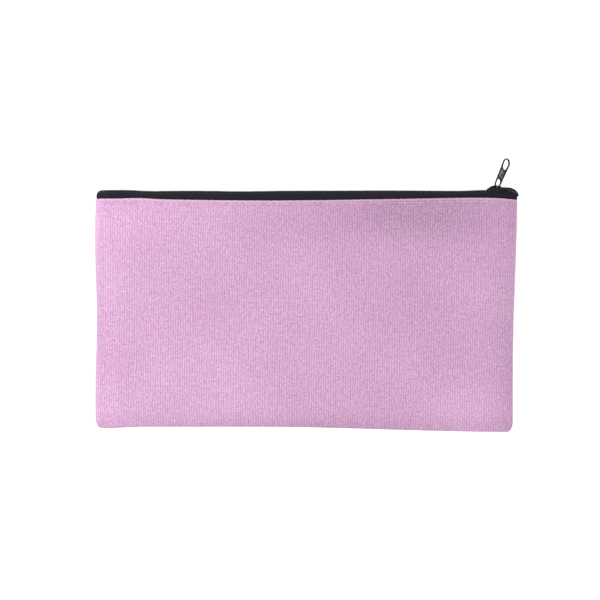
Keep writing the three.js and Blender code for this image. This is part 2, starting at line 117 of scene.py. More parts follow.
def mesh_piece(name: str, points: Points, faces: Sequence[tuple[int, ...]],
               cloth: Points | None = None) -> bpy.types.Object:
    """Makes an object from points in millimetres.

    Args:
        name: the piece's name.
        points: an array of N points.
        faces: the faces' corners, counter-clockwise from outside.
        cloth: each point's place on the flat cloth in millimetres, kept in metres as the UV map "cloth".

    Returns:
        The new object, linked and smooth shaded.
    """
    mesh = bpy.data.meshes.new(name)
    mesh.from_pydata((np.asarray(points) * MM).tolist(), [], [tuple(int(i) for i in f) for f in faces])
    if cloth is not None:
        layer = mesh.uv_layers.new(name="cloth")
        corners = np.zeros(len(mesh.loops), np.int32)
        mesh.loops.foreach_get("vertex_index", corners)
        layer.data.foreach_set("uv", (np.asarray(cloth)[corners] * MM).ravel())
    mesh.polygons.foreach_set("use_smooth", [True] * len(mesh.polygons))
    mesh.update()
    piece = bpy.data.objects.new(name, mesh)
    bpy.context.scene.collection.objects.link(piece)
    return piece


def grid_faces(rows: int, columns: int, flip: bool) -> list[tuple[int, ...]]:
    """The quads of a lattice whose points are stored row by row; flip turns them to face the other way."""
    faces = []
    for r in range(rows - 1):
        for c in range(columns - 1):
            a = r * columns + c
            quad = (a, a + 1, a + columns + 1, a + columns)
            faces.append(quad[::-1] if flip else quad)
    return faces


def cloth_places(points: Points) -> Points:
    """How far each point of a lattice lies along the cloth, measured over its surface.

    Args:
        points: rows by columns by 3.

    Returns:
        Rows by columns by 2: across from the middle column, and up from the first row.
    """
    across = np.linalg.norm(np.diff(points, axis=1), axis=2)
    across = np.concatenate([np.zeros((len(points), 1)), np.cumsum(across, axis=1)], axis=1)
    across -= across[:, [points.shape[1] // 2]]
    upward = np.linalg.norm(np.diff(points, axis=0), axis=2)
    upward = np.concatenate([np.zeros((1, points.shape[1])), np.cumsum(upward, axis=0)], axis=0)
    middle = upward[:, [points.shape[1] // 2]]
    return np.stack([across, np.broadcast_to(middle, across.shape)], axis=2)


def apply_modifier(piece: bpy.types.Object, kind: str, **settings: Any) -> None:
    """Adds a modifier with its settings to a piece and applies it."""
    activate(piece)
    modifier = piece.modifiers.new(kind.lower(), kind)
    for name, value in settings.items():
        setattr(modifier, name, value)
    bpy.ops.object.modifier_apply(modifier=modifier.name)


def thicken(piece: bpy.types.Object, thickness: float, offset: float) -> None:
    """Gives a sheet its thickness in millimetres: inwards at offset -1, both ways at 0."""
    apply_modifier(piece, "SOLIDIFY", thickness=thickness * MM, offset=offset, use_even_offset=False)


def smooth(piece: bpy.types.Object, degrees: float) -> None:
    """Shades a piece smooth, apart from its edges sharper than an angle."""
    activate(piece)
    bpy.ops.object.shade_smooth_by_angle(angle=math.radians(degrees))


def tube(path: Points, radius: float, sides: int, beside: Sequence[float]) -> Shell:
    """A closed round tube along a path.

    Args:
        path: N points along its middle.
        radius: the tube's radius.
        sides: how many sides its section has.
        beside: a direction that the path never runs along, which fixes how the section stands.

    Returns:
        The tube's points, and its faces.
    """
    along = np.gradient(path, axis=0)
    along /= np.linalg.norm(along, axis=1, keepdims=True)
    first = np.cross(along, np.asarray(beside, float))
    first /= np.linalg.norm(first, axis=1, keepdims=True)
    second = np.cross(along, first)
    points = []
    for k in range(sides):
        angle = 2 * math.pi * k / sides
        points.append(path + radius * (math.cos(angle) * first + math.sin(angle) * second))
    points = np.stack(points, axis=1).reshape(-1, 3)
    faces = []
    for i in range(len(path) - 1):
        for k in range(sides):
            a, b = i * sides + k, i * sides + (k + 1) % sides
            faces.append((a, b, b + sides, a + sides))
    last = (len(path) - 1) * sides
    faces.append(tuple(range(sides - 1, -1, -1)))
    faces.append(tuple(range(last, last + sides)))
    return points, faces


def piece_points(piece: bpy.types.Object) -> Points:
    """A piece's points in millimetres."""
    found = np.zeros(len(piece.data.vertices) * 3)
    piece.data.vertices.foreach_get("co", found)
    return found.reshape(-1, 3) / MM


def move_points(piece: bpy.types.Object, place: Callable[[Points], Points]) -> None:
    """Moves a piece's points to where place, a function of the points in millimetres, puts them."""
    piece.data.vertices.foreach_set("co", (place(piece_points(piece)) * MM).ravel())
    piece.data.update()


def join(name: str, pieces: Sequence[bpy.types.Object]) -> bpy.types.Object:
    """Joins several objects into one piece."""
    deselect()
    for piece in pieces:
        piece.select_set(True)
    bpy.context.view_layer.objects.active = pieces[0]
    bpy.ops.object.join()
    pieces[0].name = pieces[0].data.name = name
    return pieces[0]


def settle_place(piece: bpy.types.Object) -> None:
    """Puts an object's place, turn and scale into its mesh, and leaves it at the origin."""
    activate(piece)
    bpy.ops.object.transform_apply(location=True, rotation=True, scale=True)


# ---- Materials ----
def feed(tree: bpy.types.NodeTree, node: bpy.types.Node, inputs: dict[Any, Any]) -> None:
    """Feeds a node: each socket from the output given for it, or with its fixed value."""
    for socket, value in inputs.items():
        if isinstance(value, bpy.types.NodeSocket):
            tree.links.new(value, node.inputs[socket])
        else:
            node.inputs[socket].default_value = value


def add_node(tree: bpy.types.NodeTree, kind: str, inputs: dict[Any, Any] | None = None,
             **settings: Any) -> bpy.types.Node:
    """Adds a node.

    Args:
        tree: the material's node tree.
        kind: the node's type name.
        inputs: for each socket the output that feeds it, or its fixed value.
        settings: the node's own settings.

    Returns:
        The new node.
    """
    made = tree.nodes.new(kind)
    for name, value in settings.items():
        setattr(made, name, value)
    feed(tree, made, inputs or {})
    return made


def start_material(name: str) -> tuple[bpy.types.Material, bpy.types.NodeTree, bpy.types.Node]:
    """A new node material with its tree and its shader."""
    material = bpy.data.materials.new(name)
    material.use_nodes = True
    return material, material.node_tree, material.node_tree.nodes["Principled BSDF"]


def math_node(tree: bpy.types.NodeTree, operation: str, *values: Any) -> bpy.types.NodeSocket:
    """The result of one sum on values, each a socket or a number."""
    return add_node(tree, "ShaderNodeMath", dict(enumerate(values)), operation=operation).outputs[0]


def ribbed(tree: bpy.types.NodeTree, count: bpy.types.NodeSocket) -> bpy.types.NodeSocket:
    """Round ridges, one for each whole number that count passes, from 0 between them to 1 on top."""
    return math_node(tree, "ABSOLUTE", math_node(tree, "SINE", math_node(tree, "MULTIPLY", count, math.pi)))


def noise(tree: bpy.types.NodeTree, place: bpy.types.NodeSocket, size: float, detail: float,
          **inputs: float) -> bpy.types.NodeSocket:
    """Soft random speckle with grains of about a size in millimetres."""
    return add_node(tree, "ShaderNodeTexNoise", {
        "Vector": place, "Scale": 1 / (size * MM), "Detail": detail, **inputs}).outputs["Fac"]


def mix(tree: bpy.types.NodeTree, share: Any, first: Any, second: Any) -> bpy.types.NodeSocket:
    """The first colour where the share is 0, and the second where it is 1."""
    return add_node(tree, "ShaderNodeMix", {0: share, 6: first, 7: second}, data_type="RGBA").outputs[2]


def bump(tree: bpy.types.NodeTree, height: Any, strength: float, relief: float) -> bpy.types.NodeSocket:
    """The surface's direction over a relief in millimetres."""
    return add_node(tree, "ShaderNodeBump", {
        "Height": height, "Strength": strength, "Distance": relief * MM}).outputs["Normal"]


def mark(tree: bpy.types.NodeTree, name: str) -> bpy.types.NodeSocket:
    """A mark that the mesh carries, from 0 to 1."""
    return add_node(tree, "ShaderNodeAttribute", attribute_name=name).outputs["Fac"]


def dress(piece: bpy.types.Object, material: bpy.types.Material) -> None:
    """Gives a piece its one material."""
    piece.data.materials.clear()
    piece.data.materials.append(material)


@dataclass(frozen=True)
class Canvas:
    """Piece-dyed cotton canvas in a plain weave with raised ribs, matt, with soft light on its folds.

    Its warp threads stand up as ribs, so that it looks finely striped up and down, with a pale speck where
    each weft thread crosses over: the stripes and specks are painted shade in the grooves and painted highlight
    on the rib tops. Thread that came out of the dye a little light or dark runs along the ribs.
    """

    name: str = "cotton_canvas"
    colour: str = "ba91b2"
    # groove is painted shade between the ribs; pale is painted highlight on the rib tops and on the worn hem
    # fold; shade is painted shade in the needle holes
    groove: str = "a2759b"
    pale: str = "d4b1cc"
    shade: str = "775070"
    rib: float = 1.21  # warp spacing
    pick: float = 1.14  # weft spacing
    wander_size: float = 9.0  # the ribs drift sideways over this distance
    wander: float = 0.9  # by up to this many ribs
    crossing: float = 0.75  # how much of a rib's height its crossings take
    slub_length: float = 3.4
    slub_share: float = 0.5
    fluff_size: float = 1.15
    fluff_share: float = 1.35
    fade_size: float = 45.0
    fade_share: float = 0.35
    weave_share: float = 0.55
    level: float = 0.26  # of the ramp from groove to pale
    wear_and_highlight_share: float = 0.65
    relief: float = 0.16

    def weave(self, tree: bpy.types.NodeTree, cloth: bpy.types.NodeSocket) -> bpy.types.NodeSocket:
        """The height of the ribs and their crossings, from 0 to 1."""
        axes = add_node(tree, "ShaderNodeSeparateXYZ", {0: cloth})
        shift = math_node(tree, "MULTIPLY", noise(tree, cloth, self.wander_size, 1.0), self.wander)
        ribs = math_node(tree, "ADD", math_node(tree, "DIVIDE", axes.outputs["X"], self.rib * MM), shift)
        odd = math_node(tree, "MULTIPLY", math_node(tree, "MODULO", math_node(tree, "FLOOR", ribs), 2.0), 0.5)
        picks = math_node(tree, "ADD", math_node(tree, "DIVIDE", axes.outputs["Y"], self.pick * MM), odd)
        crossing = math_node(tree, "MULTIPLY_ADD", ribbed(tree, picks), self.crossing, 1.0 - self.crossing)
        return math_node(tree, "MULTIPLY", ribbed(tree, ribs), crossing)

    def build(self) -> bpy.types.Material:
        """Makes the canvas."""
        material, tree, shader = start_material(self.name)
        cloth = add_node(tree, "ShaderNodeUVMap", uv_map="cloth").outputs["UV"]
        height = self.weave(tree, cloth)
        stretched = add_node(tree, "ShaderNodeMapping", {
            "Vector": cloth, "Scale": (1 / (self.rib * MM), 1 / (self.slub_length * MM), 1.0)}).outputs[0]
        slub = noise(tree, stretched, 1 / MM, 3.0)
        fluff = noise(tree, cloth, self.fluff_size, 2.0, Roughness=0.7)
        faded = noise(tree, cloth, self.fade_size, 2.0)
        # Colour by the weave's height: painted shade in the grooves and painted highlight on the rib tops and
        # crossings. The slub, fluff and fade noise are thread and dye that differ at random.
        shade = math_node(tree, "MULTIPLY_ADD", height, self.weave_share, self.level)
        for source, share in ((slub, self.slub_share), (fluff, self.fluff_share), (faded, self.fade_share)):
            part = math_node(tree, "MULTIPLY", math_node(tree, "SUBTRACT", source, 0.5), share)
            shade = math_node(tree, "ADD", shade, part)
        ramp = add_node(tree, "ShaderNodeValToRGB", {"Fac": shade})
        ramp.color_ramp.elements[0].color = linear(self.groove)
        ramp.color_ramp.elements[1].color = linear(self.pale)
        ramp.color_ramp.elements.new(0.5).color = linear(self.colour)
        # Paler where marked: real wear along the hem fold and the rolled sides, with a painted highlight on the
        # fold.
        paling = math_node(tree, "MULTIPLY", mark(tree, "paling"), self.wear_and_highlight_share)
        rubbed = mix(tree, paling, ramp.outputs["Color"], linear(self.pale))
        # Painted shade darkens the needle holes.
        stitched = mix(tree, mark(tree, "needle_hole_shade"), rubbed, linear(self.shade))
        # Broad patches of painted shade, and of painted light below zero, scale the colour.
        strength = math_node(tree, "SUBTRACT", 1.0, mark(tree, "painted_light_and_shade"))
        light_and_shade_colour = add_node(tree, "ShaderNodeVectorMath", {0: stitched, 1: strength}, operation="MULTIPLY")
        rough = math_node(tree, "MULTIPLY_ADD", fluff, 0.35, height)
        feed(tree, shader, {
            "Base Color": light_and_shade_colour.outputs["Vector"], "Roughness": 0.94, "Specular IOR Level": 0.2,
            "Sheen Weight": 0.12, "Sheen Roughness": 0.5, "Normal": bump(tree, rough, 0.6, self.relief)})
        return material


@dataclass(frozen=True)
class ZipTape:
    """Woven polyester zip tape in herringbone, bluish black, with slanted ribs that keep turning back."""

    name: str = "woven_polyester_tape"
    colour: str = "0f0e14"
    lit: str = "221f29"
    rib: float = 0.8  # twice the real rib, so that it shows
    turn: float = 4.5

    def build(self) -> bpy.types.Material:
        """Makes the tape."""
        material, tree, shader = start_material(self.name)
        cloth = add_node(tree, "ShaderNodeUVMap", uv_map="cloth").outputs["UV"]
        axes = add_node(tree, "ShaderNodeSeparateXYZ", {0: cloth})
        fold = math_node(tree, "PINGPONG", axes.outputs["Y"], self.turn / 2 * MM)
        slant = math_node(tree, "DIVIDE", math_node(tree, "ADD", axes.outputs["X"], fold), self.rib * MM)
        fluff = math_node(tree, "MULTIPLY", noise(tree, cloth, 0.5, 2.0), 0.5)
        mixed = math_node(tree, "MULTIPLY_ADD", ribbed(tree, slant), 0.55, fluff)
        feed(tree, shader, {
            "Base Color": mix(tree, mixed, linear(self.colour), linear(self.lit)), "Roughness": 0.85,
            "Specular IOR Level": 0.15, "Sheen Weight": 0.05, "Normal": bump(tree, mixed, 0.7, 0.1)})
        return material


@dataclass(frozen=True)
class Yarn:
    """Twisted sewing thread: fine slanting plies along its length, a little silky on top."""

    name: str
    colour: str
    lit: str
    ply: float = 0.45
    slant: float = 35.0
    roughness: float = 0.7

    def build(self) -> bpy.types.Material:
        """Makes the thread."""
        material, tree, shader = start_material(self.name)
        place = add_node(tree, "ShaderNodeTexCoord").outputs["Object"]
        turned = add_node(tree, "ShaderNodeMapping", {
            "Vector": place, "Rotation": (0.0, 0.0, math.radians(self.slant))})
        plies = add_node(tree, "ShaderNodeTexWave", {
            "Vector": turned.outputs[0], "Scale": 1 / (20 * self.ply * MM) * 6.28, "Distortion": 1.5,
            "Detail": 1.0}).outputs["Fac"]
        feed(tree, shader, {
            "Base Color": mix(tree, plies, linear(self.colour), linear(self.lit)),
            "Roughness": self.roughness, "Sheen Weight": 0.1, "Normal": bump(tree, plies, 0.5, 0.06)})
        return material


@dataclass(frozen=True)
class Speckled:
    """A hard finish with fine speckle: its colour, gloss and surface change a little over small grains."""

    name: str
    colour: str
    lit: str
    grain: float
    metallic: float
    roughness: float
    uneven: float  # how much rougher the lit grains are
    relief: float
    specular: float

    def build(self) -> bpy.types.Material:
        """Makes the finish."""
        material, tree, shader = start_material(self.name)
        place = add_node(tree, "ShaderNodeTexCoord").outputs["Object"]
        grains = noise(tree, place, self.grain, 3.0)
        sharp = add_node(tree, "ShaderNodeMapRange", {
            "Value": grains, "From Min": 0.35, "From Max": 0.65}).outputs[0]
        feed(tree, shader, {
            "Base Color": mix(tree, sharp, linear(self.colour), linear(self.lit)),
            "Roughness": math_node(tree, "MULTIPLY_ADD", sharp, self.uneven, self.roughness),
            "Metallic": self.metallic, "Specular IOR Level": self.specular,
            "Normal": bump(tree, grains, 0.4, self.relief)})
        return material


@dataclass(frozen=True)
class TabMetal:
    """Black-nickel plating: a smooth, nearly black rim round a blasted grey field with pale rubbed spots."""

    name: str = "black_nickel_plate"
    rim: str = "131316"
    rim_lit: str = "26262a"
    field: str = "3c3c40"
    rubbed: str = "9b9ba2"
    grain: float = 0.5
    patch: float = 1.6

    def build(self) -> bpy.types.Material:
        """Makes the plating."""
        material, tree, shader = start_material(self.name)
        place = add_node(tree, "ShaderNodeTexCoord").outputs["Object"]
        grains = noise(tree, place, self.grain, 2.0)
        paling = add_node(tree, "ShaderNodeMapRange", {
            "Value": noise(tree, place, self.patch, 1.0), "From Min": 0.5, "From Max": 0.68}).outputs[0]
        field = mix(tree, paling, linear(self.field), linear(self.rubbed))
        rim = mix(tree, grains, linear(self.rim), linear(self.rim_lit))
        feed(tree, shader, {
            "Base Color": mix(tree, mark(tree, "field"), rim, field),
            "Roughness": math_node(tree, "MULTIPLY_ADD", grains, 0.2, 0.28), "Metallic": 0.6,
            "Normal": bump(tree, grains, 0.4, 0.05)})
        return material


@dataclass
class Finishes:
    """The materials of the whole case."""

    canvas: bpy.types.Material
    tape: bpy.types.Material
    pink_thread: bpy.types.Material
    black_thread: bpy.types.Material
    nylon: bpy.types.Material
    enamel: bpy.types.Material
    tab: bpy.types.Material

    @classmethod
    def make(cls) -> "Finishes":
        """Makes every material once."""
        return cls(
            canvas=Canvas().build(),
            tape=ZipTape().build(),
            pink_thread=Yarn("pink_polyester_thread", "c193b9", "ecc8e4").build(),
            black_thread=Yarn("black_polyester_thread", "1b1a20", "3a3842").build(),
            # Extruded nylon wire: smooth, with a soft gloss that picks out each turn.
            nylon=Speckled("nylon_monofilament", "0d0d11", "1c1c23", grain=0.6, metallic=0.0, roughness=0.4,
                           uneven=0.1, relief=0.02, specular=0.12).build(),
            # Baked enamel on die-cast zinc: a slightly rippled dark gloss.
            enamel=Speckled("baked_black_enamel", "0a0a0d", "17171b", grain=0.9, metallic=0.05, roughness=0.4,
                            uneven=0.15, relief=0.03, specular=0.16).build(),
            tab=TabMetal().build(),
        )


# ---- Form of the case ----
class Side(Enum):
    """The two halves of the case, by the way they face."""

    FRONT = 1
    BACK = -1

    @property
    def label(self) -> str:
        """The half's name in the frame."""
        return self.name.lower()


@dataclass(frozen=True)
class Wave:
    """A slow ripple of cloth: its length, the way it runs, its height and where it starts."""

    length: float
    heading: float
    height: float
    start: float

    def at(self, x: Any, y: Any) -> Any:
        """The ripple's height at a place."""
        along = x * math.cos(self.heading) + y * math.sin(self.heading)
        return self.height * np.sin(2 * math.pi * along / self.length + self.start)


@dataclass(frozen=True)
class Sag:
    """A place along the zip where a line runs low: its middle, its reach and how far it sinks."""

    x: float
    reach: float
    depth: float

    def at(self, x: Any) -> Any:
        """How far the line sinks here."""
        return self.depth * np.exp(-((x - self.x) / self.reach) ** 2)


@dataclass(frozen=True)
class Tone:
    """A broad darker patch of canvas, or a paler one below zero: its middle, its reaches and its strength.

    It stands in for soft shading that the case's form and the lights don't give. The cloth's dye is even.
    """

    x: float
    y: float
    reach_x: float
    reach_y: float
    strength: float

    def at(self, x: Any, y: Any) -> Any:
        """The patch's strength here."""
        across, upward = (x - self.x) / self.reach_x, (y - self.y) / self.reach_y
        return self.strength * np.exp(-across ** 2 - upward ** 2)


@dataclass(frozen=True)
class Slope:
    """A smooth change along a line: how much, and the places where it starts and is complete."""

    rise: float
    start: float
    stop: float

    def at(self, place: Any) -> Any:
        """The change at a place, turned round where the start lies past the stop."""
        return self.rise * smoothstep(self.start, self.stop, place)


@dataclass(frozen=True)
class CaseForm:
    """The pillow shape of the filled-out case, from the CAD panels' own boxes."""

    half_length: float
    bottom_y: float
    hem_y: float
    seam_z: float
    zip_z: float
    zip_zone: float = 16.0
    blend_zone: float = 34.0
    side_reach: float = 16.0
    side_reach_at_zip: float = 7.0
    bottom_reach: float = 15.0
    corner_width: float = 2.8  # the round bottom corners
    corner_height: float = 5.0
    rim: float = 0.5  # where the outermost point of a panel stands above the mid-plane
    reveal: float = 4.2
    mouth_half: float = 88.0  # beyond this the zip stays closed
    calm_reach: float = 22.0  # the swells die out this near to a seam
    calm_hem: Slope = Slope(0.75, -16.0, -3.0)  # and mostly at the hem
    pucker: float = 0.16  # height of the gathers along a seam
    pucker_length: float = 7.5
    side_pucker: tuple[float, float] = (3.5, 3.2)  # the gathers' crest, in from the seam, and their width
    bottom_pucker: tuple[float, float] = (3.0, 3.0)
    hem_puff: float = 0.23  # how far the folded hem stands out
    back_puckers: float = 0.25  # shares of the gathers and swells that the back keeps
    back_swells: float = 0.15
    left_wave: float = 0.4
    left_wave_length: float = 80.0
    left_wave_top: float = 35.0
    left_out: float = 0.1
    right_draw: Slope = Slope(2.0, -25.0, 56.0)  # the right side comes in towards the bottom
    bottom_lift: float = 1.25
    bottom_falls: tuple[Slope, ...] = (Slope(-2.6, -25.0, 105.0), Slope(-0.7, -80.0, -100.0))
    bottom_zone: float = 45.0  # above this height the bottom's run isn't felt
    hem_drop: float = 0.87
    hem_bow: Wave = Wave(190.0, 0.0, -0.5, math.pi / 2 + 2 * math.pi * 20.0 / 190.0)
    hem_end: Slope = Slope(-0.45, 92.0, 105.0)
    scallop: float = 0.07
    scallop_length: float = 3.3
    scallop_group: float = 21.0
    zip_drop: float = 0.38
    zip_drop_from: Slope = Slope(1.0, -90.0, -80.0)
    zip_drop_to: Slope = Slope(1.0, 76.0, 89.5)
    hem_waves: tuple[Wave, ...] = (Wave(13.0, 0.0, 0.10, 0.4), Wave(31.0, 0.0, 0.13, 2.0))
    waves: tuple[Wave, ...] = (
        Wave(150.0, 0.35, 0.40, 2.2),
        Wave(83.0, -0.9, 0.24, 0.4),
        Wave(47.0, 1.9, 0.12, 1.0),
        Wave(29.0, 0.5, 0.05, 4.0),
    )

    hem_sags: tuple[Sag, ...] = (Sag(-83.0, 8.0, -0.45), Sag(85.0, 22.0, -0.38))
    zip_sags: tuple[Sag, ...] = (
        Sag(-74.0, 8.0, 0.18), Sag(-32.0, 16.0, 0.32), Sag(38.0, 18.0, -0.12), Sag(72.0, 9.0, 0.08))

    @classmethod
    def from_frame(cls) -> "CaseForm":
        """Reads the case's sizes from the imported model."""
        low, high = box_of("front_panel")
        return cls(half_length=high[0], bottom_y=low[1], hem_y=high[1], seam_z=low[2] - SEAM_DROP,
                   zip_z=high[2] / 2)

    @property
    def top_y(self) -> float:
        """The top of the closed zip."""
        return self.hem_y + self.reveal

    def mid_z(self, y: Any) -> Any:
        """The height of the plane that holds the seams and the zip."""
        climb = self.top_y - self.bottom_y - self.zip_zone
        return self.seam_z + (self.zip_z - self.seam_z) * np.clip((y - self.bottom_y) / climb, 0.0, 1.0)

    def reach_at(self, y: Any) -> Any:
        """How far in from the side seam the wall reaches its full depth."""
        top = self.top_y - self.zip_zone
        narrowed = (self.side_reach_at_zip - self.side_reach) * smoothstep(top - self.blend_zone, top, y)
        return self.side_reach + narrowed

    def half_at(self, y: Any) -> Any:
        """Half the case's length at a height, less where the bottom corners are round."""
        risen = quarter_rise(y - self.bottom_y, self.corner_height)
        return self.half_length - self.corner_width * (1.0 - risen)

    def depth(self, side: Side, x: Any, y: Any) -> Any:
        """Builds the case and its studio."""
        full = self.zip_z
        rise = quarter_rise(self.half_at(y) - np.abs(x), self.reach_at(y))
        rise = rise * quarter_rise(y - self.bottom_y, self.bottom_reach)
        height = self.rim + (full - self.rim) * rise
        return height if side is Side.FRONT else height / full * self.mid_z(y)

    def ripples(self, side: Side, x: Any, y: Any) -> Any:
        """The cloth's small swells and the gathers along its seams, out of the case."""
        from_side = self.half_at(y) - np.abs(x)
        from_bottom = y - self.bottom_y
        from_hem = y - self.hem_y
        inner = smoothstep(0.0, self.calm_reach, from_side) * smoothstep(0.0, self.calm_reach, from_bottom)
        swell = sum(w.at(x, y) for w in self.waves) * inner * (1.0 - self.calm_hem.at(from_hem))
        wander = 1.3 * np.sin(y / 17.0 + np.sign(x)) + 0.8 * np.sin(x / 23.0)
        gathers = 0.0
        for (crest, width), away, run, length in (
                (self.side_pucker, from_side, y, self.pucker_length),
                (self.bottom_pucker, from_bottom, x, 1.25 * self.pucker_length)):
            gathers += np.exp(-((away - crest) / width) ** 2) * np.sin(2 * math.pi * run / length + wander)
        gathers = self.pucker * gathers
        if side is Side.BACK:
            # The back lies on the table, so its cloth only lifts off it.
            return -np.abs(self.back_puckers * gathers + self.back_swells * swell)
        puffed = self.hem_puff + sum(w.at(x, y) for w in self.hem_waves)
        return swell + gathers + smoothstep(-9.0, -3.0, from_hem) * puffed * smoothstep(0.5, 6.0, from_side)

    def loose(self, points: Points) -> Points:
        """Gives the outline its real, slightly uneven run: the sides wave and the bottom runs off square."""
        x, y = points[..., 0], points[..., 1]
        turn = 2 * math.pi * (y - self.left_wave_top) / self.left_wave_length
        left = -self.left_out - self.left_wave * np.cos(turn)
        right = self.right_draw.at(y) - self.right_draw.rise
        share = np.clip((x + self.half_length) / (2 * self.half_length), 0.0, 1.0)
        low = self.bottom_lift + sum(fall.at(x) for fall in self.bottom_falls)
        felt = np.clip((self.bottom_zone - y) / (self.bottom_zone - self.bottom_y), 0.0, 1.0)
        moved = np.array(points, float)
        moved[..., 0] = x + left + (right - left) * share
        moved[..., 1] = y + low * felt
        return moved

    def hem_shift(self, x: Any) -> Any:
        """How far the hem's fold runs above or below its true line."""
        group = np.sin(2 * math.pi * x / self.scallop_group)
        scallops = self.scallop * np.sin(2 * math.pi * x / self.scallop_length) * group
        sags = sum(sag.at(x) for sag in self.hem_sags)
        return self.hem_bow.at(x, 0.0) - self.hem_drop - sags + scallops + self.hem_end.at(x)

    def zip_shift(self, x: Any) -> Any:
        """How far the closed zip's top runs below its true line, between its left end and the slider."""
        between = self.zip_drop_from.at(x) * (1.0 - self.zip_drop_to.at(x))
        return (self.zip_drop + sum(sag.at(x) for sag in self.zip_sags)) * between

    def skin(self, side: Side, x: Any, y: Any, under: Any = 0.0) -> Points:
        """A point of a panel, a depth under its outer face.

        Args:
            side: the panel's half.
            x: places along the case.
            y: places up the case.
            under: how far below the outer face.

        Returns:
            The points, one for each place.
        """
        x, y, under = np.broadcast_arrays(*(np.asarray(v, float) for v in (x, y, under)))
        depth = self.depth(side, x, y)
        slack = self.ripples(side, x, y)
        z = self.mid_z(y) + side.value * np.maximum(depth + slack - under, 0.06)
        inset = under * (1.0 - quarter_rise(self.half_at(y) - np.abs(x), self.reach_at(y)))
        shift = self.hem_shift(x) * smoothstep(self.hem_y - 14.0, self.hem_y - 3.0, y)
        return self.loose(np.stack([x - np.sign(x) * inset, y + shift, z], axis=-1))

    def mouth_share(self, x: Any) -> Any:
        """How much of the mouth's opening a place takes: all in the middle and none at the mouth's ends."""
        return np.cos(0.5 * math.pi * np.clip(x / self.mouth_half, -1.0, 1.0)) ** 2


def follow(piece: bpy.types.Object, side: Side, form: CaseForm) -> None:
    """Lets a piece of the back half follow its body.

    The back lies still. For a front piece it only puts the piece's place into its mesh and works out weights
    along the zip, most in the middle and none at the sewn sides, for a mouth that would open; they are not
    used.

    Args:
        piece: the finished piece.
        side: its half.
        form: the case's form, which says how the mouth opens.
    """
    if side is Side.BACK:
        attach(piece, "back_half")
        return
    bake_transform(piece)
    weights = form.mouth_share(piece_points(piece)[:, 0])


def hand_over(piece: bpy.types.Object, material: bpy.types.Material, node: str, side: Side,
              form: CaseForm) -> bpy.types.Object:
    """Gives a finished piece its material, hides the CAD node that it replaces and passes it to follow for its
    half.
    """
    dress(piece, material)
    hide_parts(node)
    follow(piece, side, form)
    return piece


